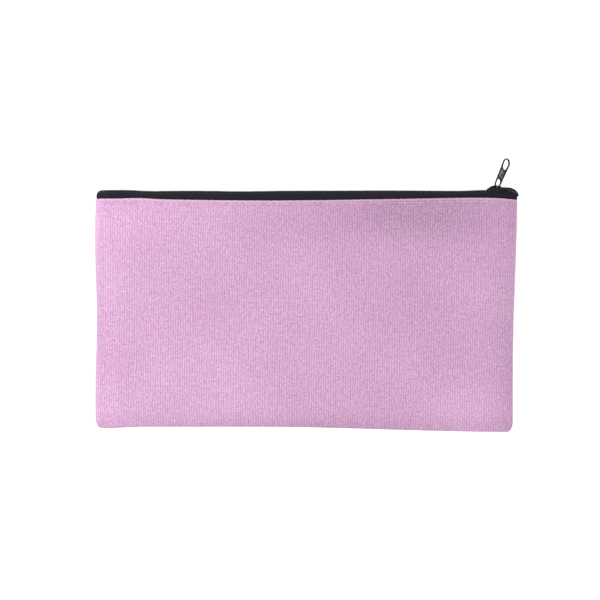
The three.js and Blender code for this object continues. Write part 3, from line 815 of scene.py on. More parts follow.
# ---- Canvas panels ----
@dataclass
class CanvasPanel:
    """One canvas panel with its folded hem and its rolled edges, and the row of stitches along the hem."""

    form: CaseForm
    side: Side
    thickness: float = 0.55
    hem_depth: float = 8.0
    column_step: float = 1.1  # between the lattice's lines in the middle
    row_step: float = 2.0
    draw_zone: float = 60.0
    roll_inset: tuple[float, ...] = (0.95, 0.45, 0.12)  # where the cloth turns in to the seam
    roll_height: tuple[float, ...] = (0.05, 0.1, 0.25)
    allowance: float = 7.0
    stitch_inset: float = 1.9
    stitch_pitch: float = 2.9
    stitch_length: float = 2.3
    thread: float = 0.36
    groove: float = 0.32  # how deep the stitches pull the cloth in
    groove_width: float = 0.6
    bend: float = 0.6  # the hem's fold, to the middle of its turn
    edge_lines: int = 11  # of the lattice over a rolled edge
    stitch_end: Slope = Slope(1.0, 98.5, 97.0)  # the row fades out here
    # Broad patches of painted shade, and of painted light where negative, laid on the canvas's colour.
    light_and_shade_patches: tuple[Tone, ...] = (
        Tone(57.0, 47.0, 34.0, 13.0, 0.24), Tone(5.0, 47.0, 30.0, 12.0, 0.06),
        Tone(-93.0, 44.0, 22.0, 14.0, -0.13), Tone(86.0, -48.0, 22.0, 16.0, -0.11),
        Tone(0.0, -59.0, 110.0, 5.0, 0.15), Tone(-106.0, 0.0, 5.0, 90.0, 0.14),
        Tone(106.0, 0.0, 5.0, 90.0, -0.24))

    def columns(self) -> tuple[np.ndarray, np.ndarray]:
        """Shares across the panel from -1 to 1, and each column's place in the roll, 0 on the face."""
        edge = 1.0 - np.cos(np.linspace(0.0, math.pi / 2, self.edge_lines))
        reach = self.form.side_reach / self.form.half_length
        left = -1.0 + reach * edge
        steps = int(2 * -left[-1] * self.form.half_length / self.column_step)
        middle = np.linspace(left[-1], -left[-1], steps + 1)
        shares = np.concatenate([left[:-1], middle, -left[:-1][::-1]])
        rolls = np.zeros(len(shares), int)
        extra = len(self.roll_inset)
        shares = np.concatenate([[-1.0] * extra, shares, [1.0] * extra])
        rolls = np.concatenate([np.arange(extra, 0, -1), rolls, np.arange(1, extra + 1)])
        return shares, rolls

    def rows(self) -> tuple[np.ndarray, np.ndarray, np.ndarray]:
        """Heights up the panel and round its hem, how far each lies under the outer face, and its roll."""
        form = self.form
        edge = 1.0 - np.cos(np.linspace(0.0, math.pi / 2, self.edge_lines))
        low = form.bottom_y + form.bottom_reach * edge
        fine_from = form.hem_y - 5.0
        middle = np.linspace(low[-1], fine_from, int((fine_from - low[-1]) / self.row_step) + 1)
        bend = self.bend
        fine = np.linspace(fine_from, form.hem_y - bend, 14)
        turn = np.linspace(0.0, math.pi, 9)[1:]
        inner = np.linspace(form.hem_y - bend, form.hem_y - self.hem_depth, 6)[1:]
        y = np.concatenate([low[:-1], middle[:-1], fine, form.hem_y - bend + bend * np.sin(turn), inner])
        under = np.concatenate([
            np.zeros(len(low) + len(middle) + len(fine) - 2),
            bend * (1.0 - np.cos(turn)),
            np.full(len(inner), 2 * bend),
        ])
        extra = len(self.roll_inset)
        rolls = np.concatenate([np.arange(extra, 0, -1), np.zeros(len(y), int)])
        return np.concatenate([[form.bottom_y] * extra, y]), np.concatenate([np.zeros(extra), under]), rolls

    def pulled_in(self, x: Any, y: Any) -> Any:
        """How far the row of stitches pulls the cloth in, deepest at each needle hole."""
        off = (y - (self.form.hem_y - self.stitch_inset)) / self.groove_width
        holes = 0.5 + 0.5 * np.cos(2 * math.pi * x / self.stitch_pitch)
        return self.groove * np.exp(-off * off) * holes * self.stitch_end.at(np.abs(x))

    def lattice(self) -> Points:
        """The outer face's points, rows by columns, in millimetres."""
        form = self.form
        shares, roll_c = self.columns()
        y, under, roll_r = self.rows()
        x = shares[None, :] * form.half_at(y)[:, None]
        # Close to the zip the wall turns down nearer to the seam, so the columns draw together there.
        tight = (form.reach_at(y) / form.side_reach)[:, None]
        half = form.half_at(y)[:, None]
        from_side = half - np.abs(x)
        drawn = from_side * (tight + (1.0 - tight) * smoothstep(0.0, self.draw_zone, from_side))
        x = np.sign(x) * (half - drawn)
        outside_hem = np.where(under > 0, 0.0, 1.0)[:, None]
        sunk = self.pulled_in(x, y[:, None]) * outside_hem
        points = form.skin(self.side, x, y[:, None], under[:, None] + sunk)
        roll = np.maximum(roll_c[None, :], roll_r[:, None])
        insets = np.array((0.0, *self.roll_inset[::-1]))
        heights = np.array((0.0, *self.roll_height[::-1]))
        points[..., 0] -= np.sign(x) * insets[roll_c][None, :]
        points[..., 1] += insets[roll_r][:, None]
        mid = form.mid_z(np.maximum(y, form.bottom_y))[:, None]
        points[..., 2] = np.where(roll > 0, mid + self.side.value * heights[roll], points[..., 2])
        return points

    def sheet(self, finishes: Finishes) -> bpy.types.Object:
        """Makes the panel: one sheet of canvas, folded under along the zip."""
        points = self.lattice()
        rows, columns = points.shape[:2]
        faces = grid_faces(rows, columns, flip=self.side is Side.BACK)
        piece = mesh_piece(f"{self.side.label}_canvas", points.reshape(-1, 3), faces,
                           cloth_places(points).reshape(-1, 2))
        self.mark_wear_highlight_and_shade(piece, points)
        thicken(piece, self.thickness, -1.0)
        return hand_over(piece, finishes.canvas, f"{self.side.label}_panel",
                         self.side, self.form)

    def mark_wear_highlight_and_shade(self, piece: bpy.types.Object, points: Points) -> None:
        """Marks where the cloth is paler, from real wear with a painted highlight on the hem fold and the
        rolled sides, the painted shade in its needle holes, and its broad patches of painted light and shade.
        """
        y, under, _ = self.rows()
        # The hem fold is paled, real wear with a painted highlight on the fold, less on the hem's inner layer;
        # the rolled sides a little.
        fold = np.where(under > 0, 1.0, smoothstep(self.form.hem_y - 1.1, self.form.hem_y - 0.5, y))
        fold = np.where(under > self.thickness * 1.5, 0.3, fold)
        from_side = self.form.half_length - np.abs(points[..., 0])
        edge = 0.35 * (1.0 - smoothstep(0.3, 2.5, from_side))
        paling = np.maximum(fold[:, None], edge)
        # Painted shade in the needle holes, strongest where the stitches pull the cloth in deepest.
        holes = np.clip(self.pulled_in(points[..., 0], y[:, None]) / self.groove * 1.4 - 0.55, 0.0, 0.7)
        holes = np.where(under[:, None] > 0, 0.0, holes)
        # The broad patches of painted light and shade.
        light_and_shade_patches = sum(painted_light_and_shade.at(points[..., 0], points[..., 1]) for painted_light_and_shade in self.light_and_shade_patches)
        for name, values in (("paling", paling), ("needle_hole_shade", holes), ("painted_light_and_shade", light_and_shade_patches)):
            piece.data.attributes.new(name, "FLOAT", "POINT").data.foreach_set(
                "value", values.ravel().astype(np.float32))

    def stitches(self, finishes: Finishes) -> bpy.types.Object:
        """Makes the row of lockstitches: one stitch, repeated, each drawn down into its needle holes."""
        end = self.form.half_length - self.form.side_reach_at_zip
        count = int(2 * end / self.stitch_pitch)
        deselect()
        bpy.ops.mesh.primitive_cylinder_add(
            vertices=8, radius=self.thread / 2 * MM, depth=self.stitch_length * 0.8 * MM,
            location=(0, 0, 0), rotation=(0, math.pi / 2, 0))
        piece = bpy.context.object
        piece.name = piece.data.name = f"{self.side.label}_hem_stitches"
        settle_place(piece)
        bpy.ops.object.mode_set(mode="EDIT")
        for end_sign in (1, -1):
            select_faces(piece, lambda centre, normal, s=end_sign: s * normal.x > 0.9)
            bpy.ops.mesh.extrude_region_move(TRANSFORM_OT_translate={
                "value": (end_sign * 0.1 * self.stitch_length * MM, 0, -0.3 * self.thread * MM)})
            bpy.ops.transform.resize(value=(1, 0.75, 0.75))
            bpy.ops.mesh.extrude_region_move(TRANSFORM_OT_translate={
                "value": (end_sign * 0.04 * self.stitch_length * MM, 0, -0.6 * self.thread * MM)})
            bpy.ops.transform.resize(value=(1, 0.7, 0.7))
        bpy.ops.object.mode_set(mode="OBJECT")
        apply_modifier(piece, "ARRAY", count=count, use_relative_offset=False, use_constant_offset=True,
                       constant_offset_displace=(self.stitch_pitch * MM, 0, 0))
        first = -self.stitch_pitch * (count - 1) / 2
        y = self.form.hem_y - self.stitch_inset

        def onto_cloth(points: Points) -> Points:
            x = points[:, 0] + first
            sunk = self.pulled_in(x, np.full_like(x, y))
            placed = self.form.skin(self.side, x, np.full_like(x, y), sunk * 0.9)
            placed[:, 1] += points[:, 1]
            placed[:, 2] += self.side.value * (points[:, 2] + 0.12 * self.thread)
            if self.side is Side.BACK:
                placed[:, 2] = np.maximum(placed[:, 2], 0.02)
            return placed

        move_points(piece, onto_cloth)
        if self.side is Side.BACK:
            turn_out(piece)
        smooth(piece, 60)
        return hand_over(piece, finishes.pink_thread, f"{self.side.label}_hem_stitch",
                         self.side, self.form)


def select_faces(piece: bpy.types.Object, wanted: Callable[[Vector, Vector], bool]) -> None:
    """Selects, in edit mode, the faces whose middle and normal a test accepts."""
    bpy.ops.object.mode_set(mode="OBJECT")
    mesh = piece.data
    mesh.vertices.foreach_set("select", [False] * len(mesh.vertices))
    mesh.edges.foreach_set("select", [False] * len(mesh.edges))
    for polygon in mesh.polygons:
        polygon.select = bool(wanted(polygon.center, polygon.normal))
    bpy.ops.object.mode_set(mode="EDIT")
    bpy.ops.mesh.select_mode(type="FACE")


def turn_out(piece: bpy.types.Object) -> None:
    """Merges a mirrored or spun piece's doubles and turns its faces outwards."""
    activate(piece)
    bpy.ops.object.mode_set(mode="EDIT")
    bpy.ops.mesh.select_all(action="SELECT")
    bpy.ops.mesh.remove_doubles(threshold=1e-6)
    bpy.ops.mesh.normals_make_consistent(inside=False)
    bpy.ops.object.mode_set(mode="OBJECT")


# ---- Seams inside the case ----
@dataclass
class SeamAllowance:
    """Both panels' turned-in edges along one seam, two layers of canvas bound with overlock thread."""

    form: CaseForm
    name: str
    layer: float = 0.5
    width: float = 7.0
    apart: float = 0.06
    pitch: float = 2.1
    wrap: float = 4.0
    thread: float = 0.3

    def frame_box(self) -> tuple[np.ndarray, np.ndarray]:
        """The CAD allowance's own box."""
        return box_of(f"{self.name}_seam_allowance")

    def strip(self, finishes: Finishes) -> bpy.types.Object:
        """Makes the two layers, each a strip whose cut edge is a little wavy."""
        low, high = self.frame_box()
        size = high - low
        middle = (low + high) / 2
        along_y = size[1] > size[0]
        layers = []
        for level in (1, -1):
            deselect()
            bpy.ops.mesh.primitive_cube_add(
                size=1, location=(middle[0] * MM, middle[1] * MM, level * (self.layer + self.apart) / 2 * MM),
                scale=(size[0] * MM, size[1] * MM, self.layer * MM))
            strip = bpy.context.object
            settle_place(strip)
            bpy.ops.object.mode_set(mode="EDIT")
            long_axis = 1 if along_y else 0
            cuts = 50 if along_y else 80
            for i in range(1, cuts):
                place = [0.0, 0.0, 0.0]
                place[long_axis] = (low[long_axis] + size[long_axis] * i / cuts) * MM
                normal = [0.0, 0.0, 0.0]
                normal[long_axis] = 1.0
                bpy.ops.mesh.select_all(action="SELECT")
                bpy.ops.mesh.bisect(plane_co=place, plane_no=normal)
            bpy.ops.object.mode_set(mode="OBJECT")
            layers.append(strip)
        piece = join(f"{self.name}_allowance_cloth", layers)
        inner = self.inner_edge(low, high)

        def wavy(points: Points) -> Points:
            run = points[:, 1] if along_y else points[:, 0]
            across = points[:, 0] if along_y else points[:, 1]
            near_cut = np.clip(1.0 - np.abs(across - inner) / self.width, 0.0, 1.0)
            points[:, 2] += 0.12 * near_cut * np.sin(run / 3.1) + self.form.mid_z(points[:, 1])
            return self.form.loose(points)

        move_points(piece, wavy)
        add_flat_cloth(piece)
        return hand_over(piece, finishes.canvas, f"{self.name}_seam_allowance",
                         Side.BACK, self.form)

    def inner_edge(self, low: np.ndarray, high: np.ndarray) -> float:
        """Where the cut edge lies, across the seam."""
        if self.name == "bottom":
            return float(high[1])
        return float(high[0] if self.name == "left" else low[0])

    def overlock(self, finishes: Finishes) -> bpy.types.Object:
        """Makes the overlock: a thread that wraps the cut edge, and a chain of needle thread on each face."""
        low, high = self.frame_box()
        along_y = self.name != "bottom"
        inner = self.inner_edge(low, high)
        outward = 1.0 if self.name == "right" else -1.0
        start, stop = (low[1], high[1]) if along_y else (low[0], high[0])
        turns = int((stop - start) / self.pitch)
        angle = np.linspace(0.0, 2 * math.pi * turns, 12 * turns + 1)
        run = start + (stop - start) * angle / angle[-1]
        from_edge = (self.wrap / 2 - 0.3) - (self.wrap / 2) * np.cos(angle)
        around = np.sign(np.sin(angle)) * np.abs(np.sin(angle)) ** 0.5
        lift = (self.layer + self.apart / 2 + 0.5 * self.thread) * around + 0.12 * np.sin(run / 3.1)
        wrapped = tube(self.laid(run, inner + outward * from_edge, lift, along_y), self.thread / 2, 5,
                       (0, 1, 0) if along_y else (1, 0, 0))
        parts = [wrapped]
        for level in (1, -1):
            needle = np.linspace(start + 0.3, stop - 0.3, 3 * turns)
            height = level * (self.layer + self.apart / 2 + 0.6 * self.thread) + 0.06 * np.cos(
                2 * math.pi * needle / self.pitch) + 0.06 * np.sin(needle / 3.1)
            line = np.full_like(needle, inner + outward * (self.wrap - 0.55))
            path = self.laid(needle, line, height, along_y)
            parts.append(tube(path, self.thread * 0.45, 5, (0, 0, 1)))
        points, faces = merged(parts)
        piece = mesh_piece(f"{self.name}_overlock_thread", points, faces)
        turn_out(piece)
        return hand_over(piece, finishes.pink_thread, f"{self.name}_overlock",
                         Side.BACK, self.form)

    def laid(self, run: np.ndarray, across: np.ndarray, lift: np.ndarray, along_y: bool) -> Points:
        """Points along the seam, lifted off the mid-plane."""
        x, y = (across, run) if along_y else (run, across)
        return self.form.loose(np.stack([x, y, self.form.mid_z(y) + lift], axis=-1))


def merged(parts: Sequence[Shell]) -> Shell:
    """Several meshes' points and faces as one."""
    points, faces, count = [], [], 0
    for part_points, part_faces in parts:
        points.append(part_points)
        faces.extend(tuple(i + count for i in face) for face in part_faces)
        count += len(part_points)
    return np.concatenate(points), faces


def add_flat_cloth(piece: bpy.types.Object) -> None:
    """Gives a nearly flat piece the UV map "cloth", its own X and Y in metres."""
    while piece.data.uv_layers:
        piece.data.uv_layers.remove(piece.data.uv_layers[0])
    layer = piece.data.uv_layers.new(name="cloth")
    corners = np.zeros(len(piece.data.loops), np.int32)
    piece.data.loops.foreach_get("vertex_index", corners)
    layer.data.foreach_set("uv", (piece_points(piece)[corners][:, :2] * MM).ravel())


# ---- Zip ----
@dataclass(frozen=True)
class ZipEnd:
    """How one end of the zip is drawn out over its side seam and falls away round the corner."""

    start: float  # the drawing out begins here
    out: float
    out_at_edge: float  # and this much further along the chain
    edge: float  # where the rounded fall is complete
    fall_reach: float
    fall: float

    def drawn(self, s: np.ndarray) -> np.ndarray:
        """How far a place across the tape is drawn out."""
        return self.out + self.out_at_edge * smoothstep(-0.8, 1.2, s)

    def fallen(self, out_x: np.ndarray) -> np.ndarray:
        """How far the top has fallen at a distance from the case's middle."""
        return self.fall * (1.0 - quarter_rise(self.edge - out_x, self.fall_reach))


@dataclass
class ZipHalf:
    """One side of the zip: its woven tape, and the coil sewn along the tape's edge on its core."""

    form: CaseForm
    side: Side
    tape: float = 0.5
    inside: float = 9.0
    bend: float = 0.8
    drop: float = 3.65  # tape to the mid-plane, under the hem
    least_drop: float = 1.35
    inner: float = 0.6  # coil and tape edge to the mid-plane
    end_inset: float = 2.6
    canvas_inset: float = 1.8
    fit: float = 0.1
    coil_width: float = 1.6
    coil_height: float = 1.3
    wire: float = 0.5
    pitch: float = 1.27
    reach_over: float = 0.9  # how far a turn's head passes the tape's edge where the zip is closed
    sew_pitch: float = 1.27
    thread: float = 0.35
    stand_from: float = 98.6
    stand_length: float = 1.1
    stand: float = 1.0
    open_run: float = 3.5  # the standing tape's height
    open_length: float = 1.2  # reached over this distance
    open_taper: float = 0.5
    open_taper_from: float = 101.0
    left_end: ZipEnd = ZipEnd(98.0, 2.2, 0.0, 104.65, 2.65, 2.6)
    right_end: ZipEnd = ZipEnd(100.2, 2.4, 0.8, 105.7, 4.9, 3.2)
    end_lean: float = 3.3  # how far the standing tape leans back over the slider
    end_press: float = 0.75  # how much flatter the two halves lie at the ends
    fine_left: float = -94.0  # the lattice is finer beyond these
    fine_right: float = 96.0
    turn_steps: int = 12  # points to a turn of the coil
    parting: float = 2.5  # the heads part over this length in the slider
    end_parting: Slope = Slope(1.0, -96.5, -99.0)
    core_radius: float = 0.4
    core_sink: float = 0.18

    def __post_init__(self) -> None:
        """Works out the places that follow from the sizes."""
        self.tape_y = self.form.top_y - self.coil_height - self.fit - self.tape / 2
        self.bend_length = self.bend * math.pi / 2
        self.end_x = self.form.half_length - self.end_inset
        slider_low, slider_high = box_of("slider_body")
        self.wedge_x = slider_low[0] + 0.55 * (slider_high[0] - slider_low[0])
        self.first_s = self.form.hem_y - self.inside - (self.tape_y - self.bend)
        self.coil_lift = self.tape / 2 - 0.04 + self.coil_height / 2

    def drop_at(self, x: Any) -> Any:
        """The tape's distance from the mid-plane, less where it follows the panel in to the side seams."""
        rise = quarter_rise(self.form.half_length - self.canvas_inset - np.abs(x),
                            self.form.side_reach_at_zip - self.canvas_inset)
        return np.maximum(self.least_drop, self.drop * rise)

    def standing(self, x: Any) -> Any:
        """How far the open tape past the slider has stood up."""
        return self.stand * smoothstep(self.stand_from, self.stand_from + self.stand_length, x)

    def run_at(self, x: Any) -> Any:
        """The tape's length from where it turns to its edge."""
        closed = self.bend_length + np.maximum(self.drop_at(x) - self.bend - self.inner, 0.0)
        open_run = self.open_run - self.open_taper * smoothstep(self.open_taper_from, self.end_x, x)
        opened = smoothstep(self.stand_from, self.stand_from + self.open_length, x)
        return closed + (open_run - closed) * opened

    def at(self, x: Any, s: Any, lift: Any) -> Points:
        """A point of the zip.

        Args:
            x: places along the zip.
            s: places across the tape, from where it starts to turn towards the chain.
            lift: how far off the tape's middle, out of the case.

        Returns:
            The points.
        """
        x, s, lift = np.broadcast_arrays(*(np.asarray(v, float) for v in (x, s, lift)))
        standing = self.standing(x)
        full_turn = math.pi / 2 * np.maximum(1.0 - standing, 1e-3)
        turned = full_turn * np.clip(s / self.bend_length, 0.0, 1.0)
        radius = self.bend_length / full_turn
        run = np.maximum(s - self.bend_length, 0.0)
        up = np.minimum(s, 0.0) + radius * np.sin(turned) + run * np.cos(turned) + lift * np.sin(turned)
        inward = radius * (1.0 - np.cos(turned)) + run * np.sin(turned) - lift * np.cos(turned)
        y = self.tape_y - self.bend + up
        return self.closed_ends(x, s, y, self.drop_at(x) - inward)

    def closed_ends(self, x: np.ndarray, s: np.ndarray, y: np.ndarray, off: np.ndarray) -> Points:
        """Draws the zip's two ends out over the side seams, together and down into the corners."""
        left, right = self.left_end, self.right_end
        start = np.where(x < 0, left.start, right.start)
        end = smoothstep(start, self.end_x, np.abs(x)) * smoothstep(-5.4, -3.4, s)
        leaning = self.standing(x) ** 2 * smoothstep(0.0, 2.4, s) * (1.0 - end)
        out_x = x + np.where(x < 0, -left.drawn(s), right.drawn(s)) * end - self.end_lean * leaning
        fallen = np.where(x < 0, left.fallen(-out_x), right.fallen(out_x))
        share = np.clip((y - self.form.hem_y) / self.form.reveal, 0.0, 1.3)
        y = y - (fallen + self.form.zip_shift(x)) * share
        z = self.form.mid_z(y) + self.side.value * off * (1.0 - self.end_press * end)
        return np.stack([out_x, y, z], axis=-1)

    def stations(self) -> np.ndarray:
        """Places along the zip, closer together at its two ends."""
        return np.concatenate([
            np.linspace(-self.end_x, self.fine_left, 22)[:-1],
            np.linspace(self.fine_left, self.fine_right, 106)[:-1],
            np.linspace(self.fine_right, self.end_x, 26),
        ])

    def tape_piece(self, finishes: Finishes) -> bpy.types.Object:
        """Makes the woven tape."""
        x = self.stations()
        under = np.linspace(self.first_s, 0.0, 9)[:-1]
        rows = []
        for s in under:
            rows.append(self.at(x, s, 0.0))
        for share in np.linspace(0.0, 1.0, 8)[:-1]:
            rows.append(self.at(x, share * self.bend_length, 0.0))
        for share in np.linspace(0.0, 1.0, 6):
            rows.append(self.at(x, self.bend_length + share * (self.run_at(x) - self.bend_length), 0.0))
        points = np.stack(rows)
        faces = grid_faces(len(rows), len(x), flip=self.side is Side.BACK)
        piece = mesh_piece(f"{self.side.label}_tape", points.reshape(-1, 3), faces,
                           cloth_places(points).reshape(-1, 2))
        thicken(piece, self.tape, 0.0)
        return hand_over(piece, finishes.tape, f"{self.side.label}_zip_tape",
                         self.side, self.form)

    def coil_piece(self, finishes: Finishes) -> bpy.types.Object:
        """Makes the coil: a nylon wire wound round the core, its heads meshing where the zip is closed."""
        every = np.linspace(-self.end_x, self.end_x, 4000)
        edge = self.at(every, self.run_at(every), self.coil_lift)
        length = np.concatenate([[0.0], np.cumsum(np.linalg.norm(np.diff(edge, axis=0), axis=1))])
        turns = int(length[-1] / self.pitch) - 1
        angle = np.linspace(0.0, 2 * math.pi * turns, self.turn_steps * turns + 1)
        half_turn = 0.25 if self.side is Side.FRONT else 0.75
        x = np.interp((angle / (2 * math.pi) + half_turn) * self.pitch, length, every)
        parted = smoothstep(self.wedge_x - self.parting, self.wedge_x, x) + self.end_parting.at(x)
        over = self.reach_over * (1.0 - np.clip(parted, 0.0, 1.0))
        inside = self.coil_width / 2 - self.wire / 2
        outwards = np.cos(angle)
        s = self.run_at(x) - self.coil_width / 2 + inside * outwards + np.maximum(outwards, 0.0) * over
        lift = self.coil_lift + (self.coil_height - self.wire) / 2 * np.sin(angle)
        points, faces = tube(self.at(x, s, lift), self.wire / 2, 6, (1, 0, 0))
        piece = mesh_piece(f"{self.side.label}_coil", points, faces)
        turn_out(piece)
        return hand_over(piece, finishes.nylon, f"{self.side.label}_zip_coil",
                         self.side, self.form)

    def core_piece(self, finishes: Finishes) -> bpy.types.Object:
        """Makes the cord inside the coil."""
        x = np.linspace(-self.end_x + 0.3, self.end_x - 0.3, 170)
        s = self.run_at(x) - self.coil_width / 2
        wobble = 0.03 * np.sin(2 * math.pi * x / self.pitch)
        path = self.at(x, s, self.coil_lift - self.core_sink + wobble)
        points, faces = tube(path, self.core_radius, 8, (0, 0, 1))
        piece = mesh_piece(f"{self.side.label}_core", points, faces)
        turn_out(piece)
        return hand_over(piece, finishes.black_thread, f"{self.side.label}_coil_core",
                         self.side, self.form)

    def sewing_piece(self, finishes: Finishes) -> bpy.types.Object:
        """Makes the stitching that holds the coil: two rows of loops over it, and a zigzag behind it."""
        count = int(2 * (self.end_x - 1.0) / self.sew_pitch)
        step = np.linspace(-self.end_x + 1.0, self.end_x - 1.0, 6 * count + 1)
        phase = 2 * math.pi * (step + self.end_x) / self.sew_pitch
        centre = self.run_at(step) - self.coil_width / 2
        parts = []
        for offset in (-0.22, 0.22):
            over = self.coil_lift + self.coil_height / 2 + 0.02 - 0.12 * (1 + np.cos(phase))
            parts.append(tube(self.at(step, centre + offset, over), self.thread * 0.3, 5, (0, 0, 1)))
        below = -self.tape / 2 - self.thread * 0.3 + 0.04 * np.cos(phase)
        zigzag = centre + 0.35 * np.sin(phase / 2)
        parts.append(tube(self.at(step, zigzag, below), self.thread * 0.4, 5, (0, 0, 1)))
        points, faces = merged(parts)
        piece = mesh_piece(f"{self.side.label}_coil_sewing", points, faces)
        turn_out(piece)
        return hand_over(piece, finishes.black_thread, f"{self.side.label}_coil_stitch",
                         self.side, self.form)


# ---- Slider ----
def cuboid(low: Sequence[float], high: Sequence[float]) -> bpy.types.Object:
    """A block between two corners, in millimetres, its place in its mesh."""
    low, high = np.asarray(low, float), np.asarray(high, float)
    deselect()
    bpy.ops.mesh.primitive_cube_add(
        size=1, location=tuple((low + high) / 2 * MM), scale=tuple((high - low) * MM))
    block = bpy.context.object
    settle_place(block)
    return block


def boolean(piece: bpy.types.Object, other: bpy.types.Object, operation: str) -> None:
    """Cuts or adds another solid and removes it."""
    apply_modifier(piece, "BOOLEAN", object=other, operation=operation, solver="EXACT")
    bpy.data.objects.remove(other)


def select_edges(piece: bpy.types.Object, wanted: Callable[[Vector, Vector], bool]) -> None:
    """Selects, in edit mode, the edges whose two ends a test accepts."""
    bpy.ops.object.mode_set(mode="OBJECT")
    mesh = piece.data
    for polygon in mesh.polygons:
        polygon.select = False
    mesh.vertices.foreach_set("select", [False] * len(mesh.vertices))
    for edge in mesh.edges:
        a, b = (mesh.vertices[i].co for i in edge.vertices)
        edge.select = bool(wanted(a, b))
    bpy.ops.object.mode_set(mode="EDIT")
    bpy.ops.mesh.select_mode(type="EDGE")


def bevel_edges(piece: bpy.types.Object, wanted: Callable[[Vector, Vector], bool], offset: float,
                segments: int) -> None:
    """Rounds the edges whose two ends a test accepts, by an offset in millimetres."""
    select_edges(piece, wanted)
    bpy.ops.mesh.bevel(offset=offset * MM, segments=segments, profile=0.5)
    bpy.ops.object.mode_set(mode="OBJECT")


def upright(a: Vector, b: Vector) -> bool:
    """Whether an edge stands along Y."""
    return abs(a.x - b.x) < SAME and abs(a.z - b.z) < SAME


@dataclass
class Slider:
    """The enamelled zip slider: two plates joined by a wedge, flanges that hold the coils, and a bridge."""

    form: CaseForm
    length: float = 8.4
    nose_width: float = 6.4
    tail_width: float = 5.9
    corner: float = 1.1
    wall: float = 0.6
    flange: float = 0.5
    tape: float = 0.5
    running: float = 0.2
    coil_height: float = 1.3
    fit: float = 0.1
    thread: float = 0.35
    lower_inset: float = 0.15
    wedge: float = 0.9  # its width
    wedge_start: float = 0.9  # from the slider's middle, towards the nose
    wedge_corner: float = 0.4
    bridge_length: float = 7.0
    bridge_height: float = 1.75
    bridge_width: float = 1.0
    bridge_bar: float = 2.7
    bridge_top: float = 0.5
    opening_shift: float = 0.75  # the ring's opening in the bridge, towards the nose
    round_top: float = 0.45

    def __post_init__(self) -> None:
        """Works out the slider's place and its plates' heights from the CAD slider."""
        low, high = box_of("slider_body")
        self.x = float(low[0] + self.length / 2)
        self.z = float((low[2] + high[2]) / 2)
        self.y = float(self.form.top_y - self.coil_height - self.fit - self.tape / 2)
        self.roof = self.tape / 2 + self.fit + self.coil_height + self.running
        self.top = self.roof + self.wall
        self.floor = -self.tape / 2 - self.fit - self.thread - self.running
        self.bottom = self.floor - self.wall

    def plate(self, low: float, high: float, inset: float) -> bpy.types.Object:
        """A plate with rounded corners, narrower at its tail."""
        half = self.length / 2 - inset
        nose = self.nose_width / 2 - inset
        slab = cuboid((self.x - half, self.y + low, self.z - nose),
                      (self.x + half, self.y + high, self.z + nose))
        bevel_edges(slab, upright, self.corner, 6)
        narrow = self.tail_width / self.nose_width

        def tapered(points: Points) -> Points:
            share = np.clip((points[:, 0] - (self.x - half)) / (2 * half), 0.0, 1.0)
            points[:, 2] = self.z + (points[:, 2] - self.z) * (narrow + (1 - narrow) * share)
            return points

        move_points(slab, tapered)
        return slab

    def bridge(self) -> bpy.types.Object:
        """The low arch that holds the tab: a bar's section spun over the plate and flattened."""
        foot = self.y + self.top - self.wall / 2
        middle = self.bridge_length / 2 - self.bridge_bar / 2
        deselect()
        bpy.ops.mesh.primitive_plane_add(
            size=1, location=((self.x + middle) * MM, foot * MM, self.z * MM), rotation=(math.pi / 2, 0, 0))
        bar = bpy.context.object
        bar.scale = (self.bridge_bar * MM, self.bridge_width * MM, 1)
        settle_place(bar)
        bpy.ops.object.mode_set(mode="EDIT")
        bpy.ops.mesh.select_all(action="SELECT")
        bpy.ops.mesh.spin(steps=18, angle=math.pi, axis=(0, 0, 1),
                          center=(self.x * MM, foot * MM, self.z * MM))
        bpy.ops.object.mode_set(mode="OBJECT")
        outer = self.bridge_length / 2
        inner = outer - self.bridge_bar

        def flattened(points: Points) -> Points:
            radius = np.hypot(points[:, 0] - self.x, points[:, 1] - foot)
            within = radius < (inner + outer) / 2
            top = np.where(within, self.bridge_height - self.bridge_top, self.bridge_height)
            points[:, 0] += np.where(within, self.opening_shift, 0.0)
            points[:, 1] = foot + np.abs(points[:, 1] - foot) / radius * top
            return points

        move_points(bar, flattened)
        close_ends(bar)
        return bar

    def piece(self, finishes: Finishes) -> bpy.types.Object:
        """Makes the slider."""
        slot = self.tape / 2 + self.running
        body = self.plate(slot, self.top, 0.0)
        top = (self.y + self.top) * MM
        bevel_edges(body, lambda a, b: abs(a.y - top) < SAME and abs(b.y - top) < SAME, self.round_top, 4)
        channel = self.tail_width / 2 - self.flange
        boolean(body, cuboid((self.x - self.length, self.y - 1, self.z - channel),
                             (self.x + self.length, self.y + self.roof, self.z + channel)), "DIFFERENCE")
        boolean(body, self.plate(self.bottom, self.floor, self.lower_inset), "UNION")
        half = self.wedge / 2
        nose = self.length / 2 - 2 * self.lower_inset
        wedge = cuboid((self.x + self.wedge_start, self.y + self.bottom + self.wall / 2, self.z - half),
                       (self.x + nose, self.y + self.top - self.wall / 2, self.z + half))
        bevel_edges(wedge, upright, self.wedge_corner, 4)
        boolean(body, wedge, "UNION")
        boolean(body, self.bridge(), "UNION")
        apply_modifier(body, "BEVEL", width=0.1 * MM, segments=2, limit_method="ANGLE",
                       angle_limit=math.radians(35), use_clamp_overlap=True)
        body.name = body.data.name = "zip_slider"
        turn_out(body)
        smooth(body, 40)
        dress(body, finishes.enamel)
        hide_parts("slider_body")
        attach(body, "slider")
        return body


def close_ends(piece: bpy.types.Object) -> None:
    """Closes a spun shape's open ends and turns its faces outwards."""
    activate(piece)
    bpy.ops.object.mode_set(mode="EDIT")
    bpy.ops.mesh.select_all(action="DESELECT")
    bpy.ops.mesh.select_mode(type="EDGE")
    bpy.ops.mesh.select_non_manifold(extend=False, use_wire=False, use_multi_face=False,
                                     use_non_contiguous=False, use_verts=False)
    bpy.ops.mesh.fill_holes(sides=0)
    bpy.ops.object.mode_set(mode="OBJECT")
    turn_out(piece)


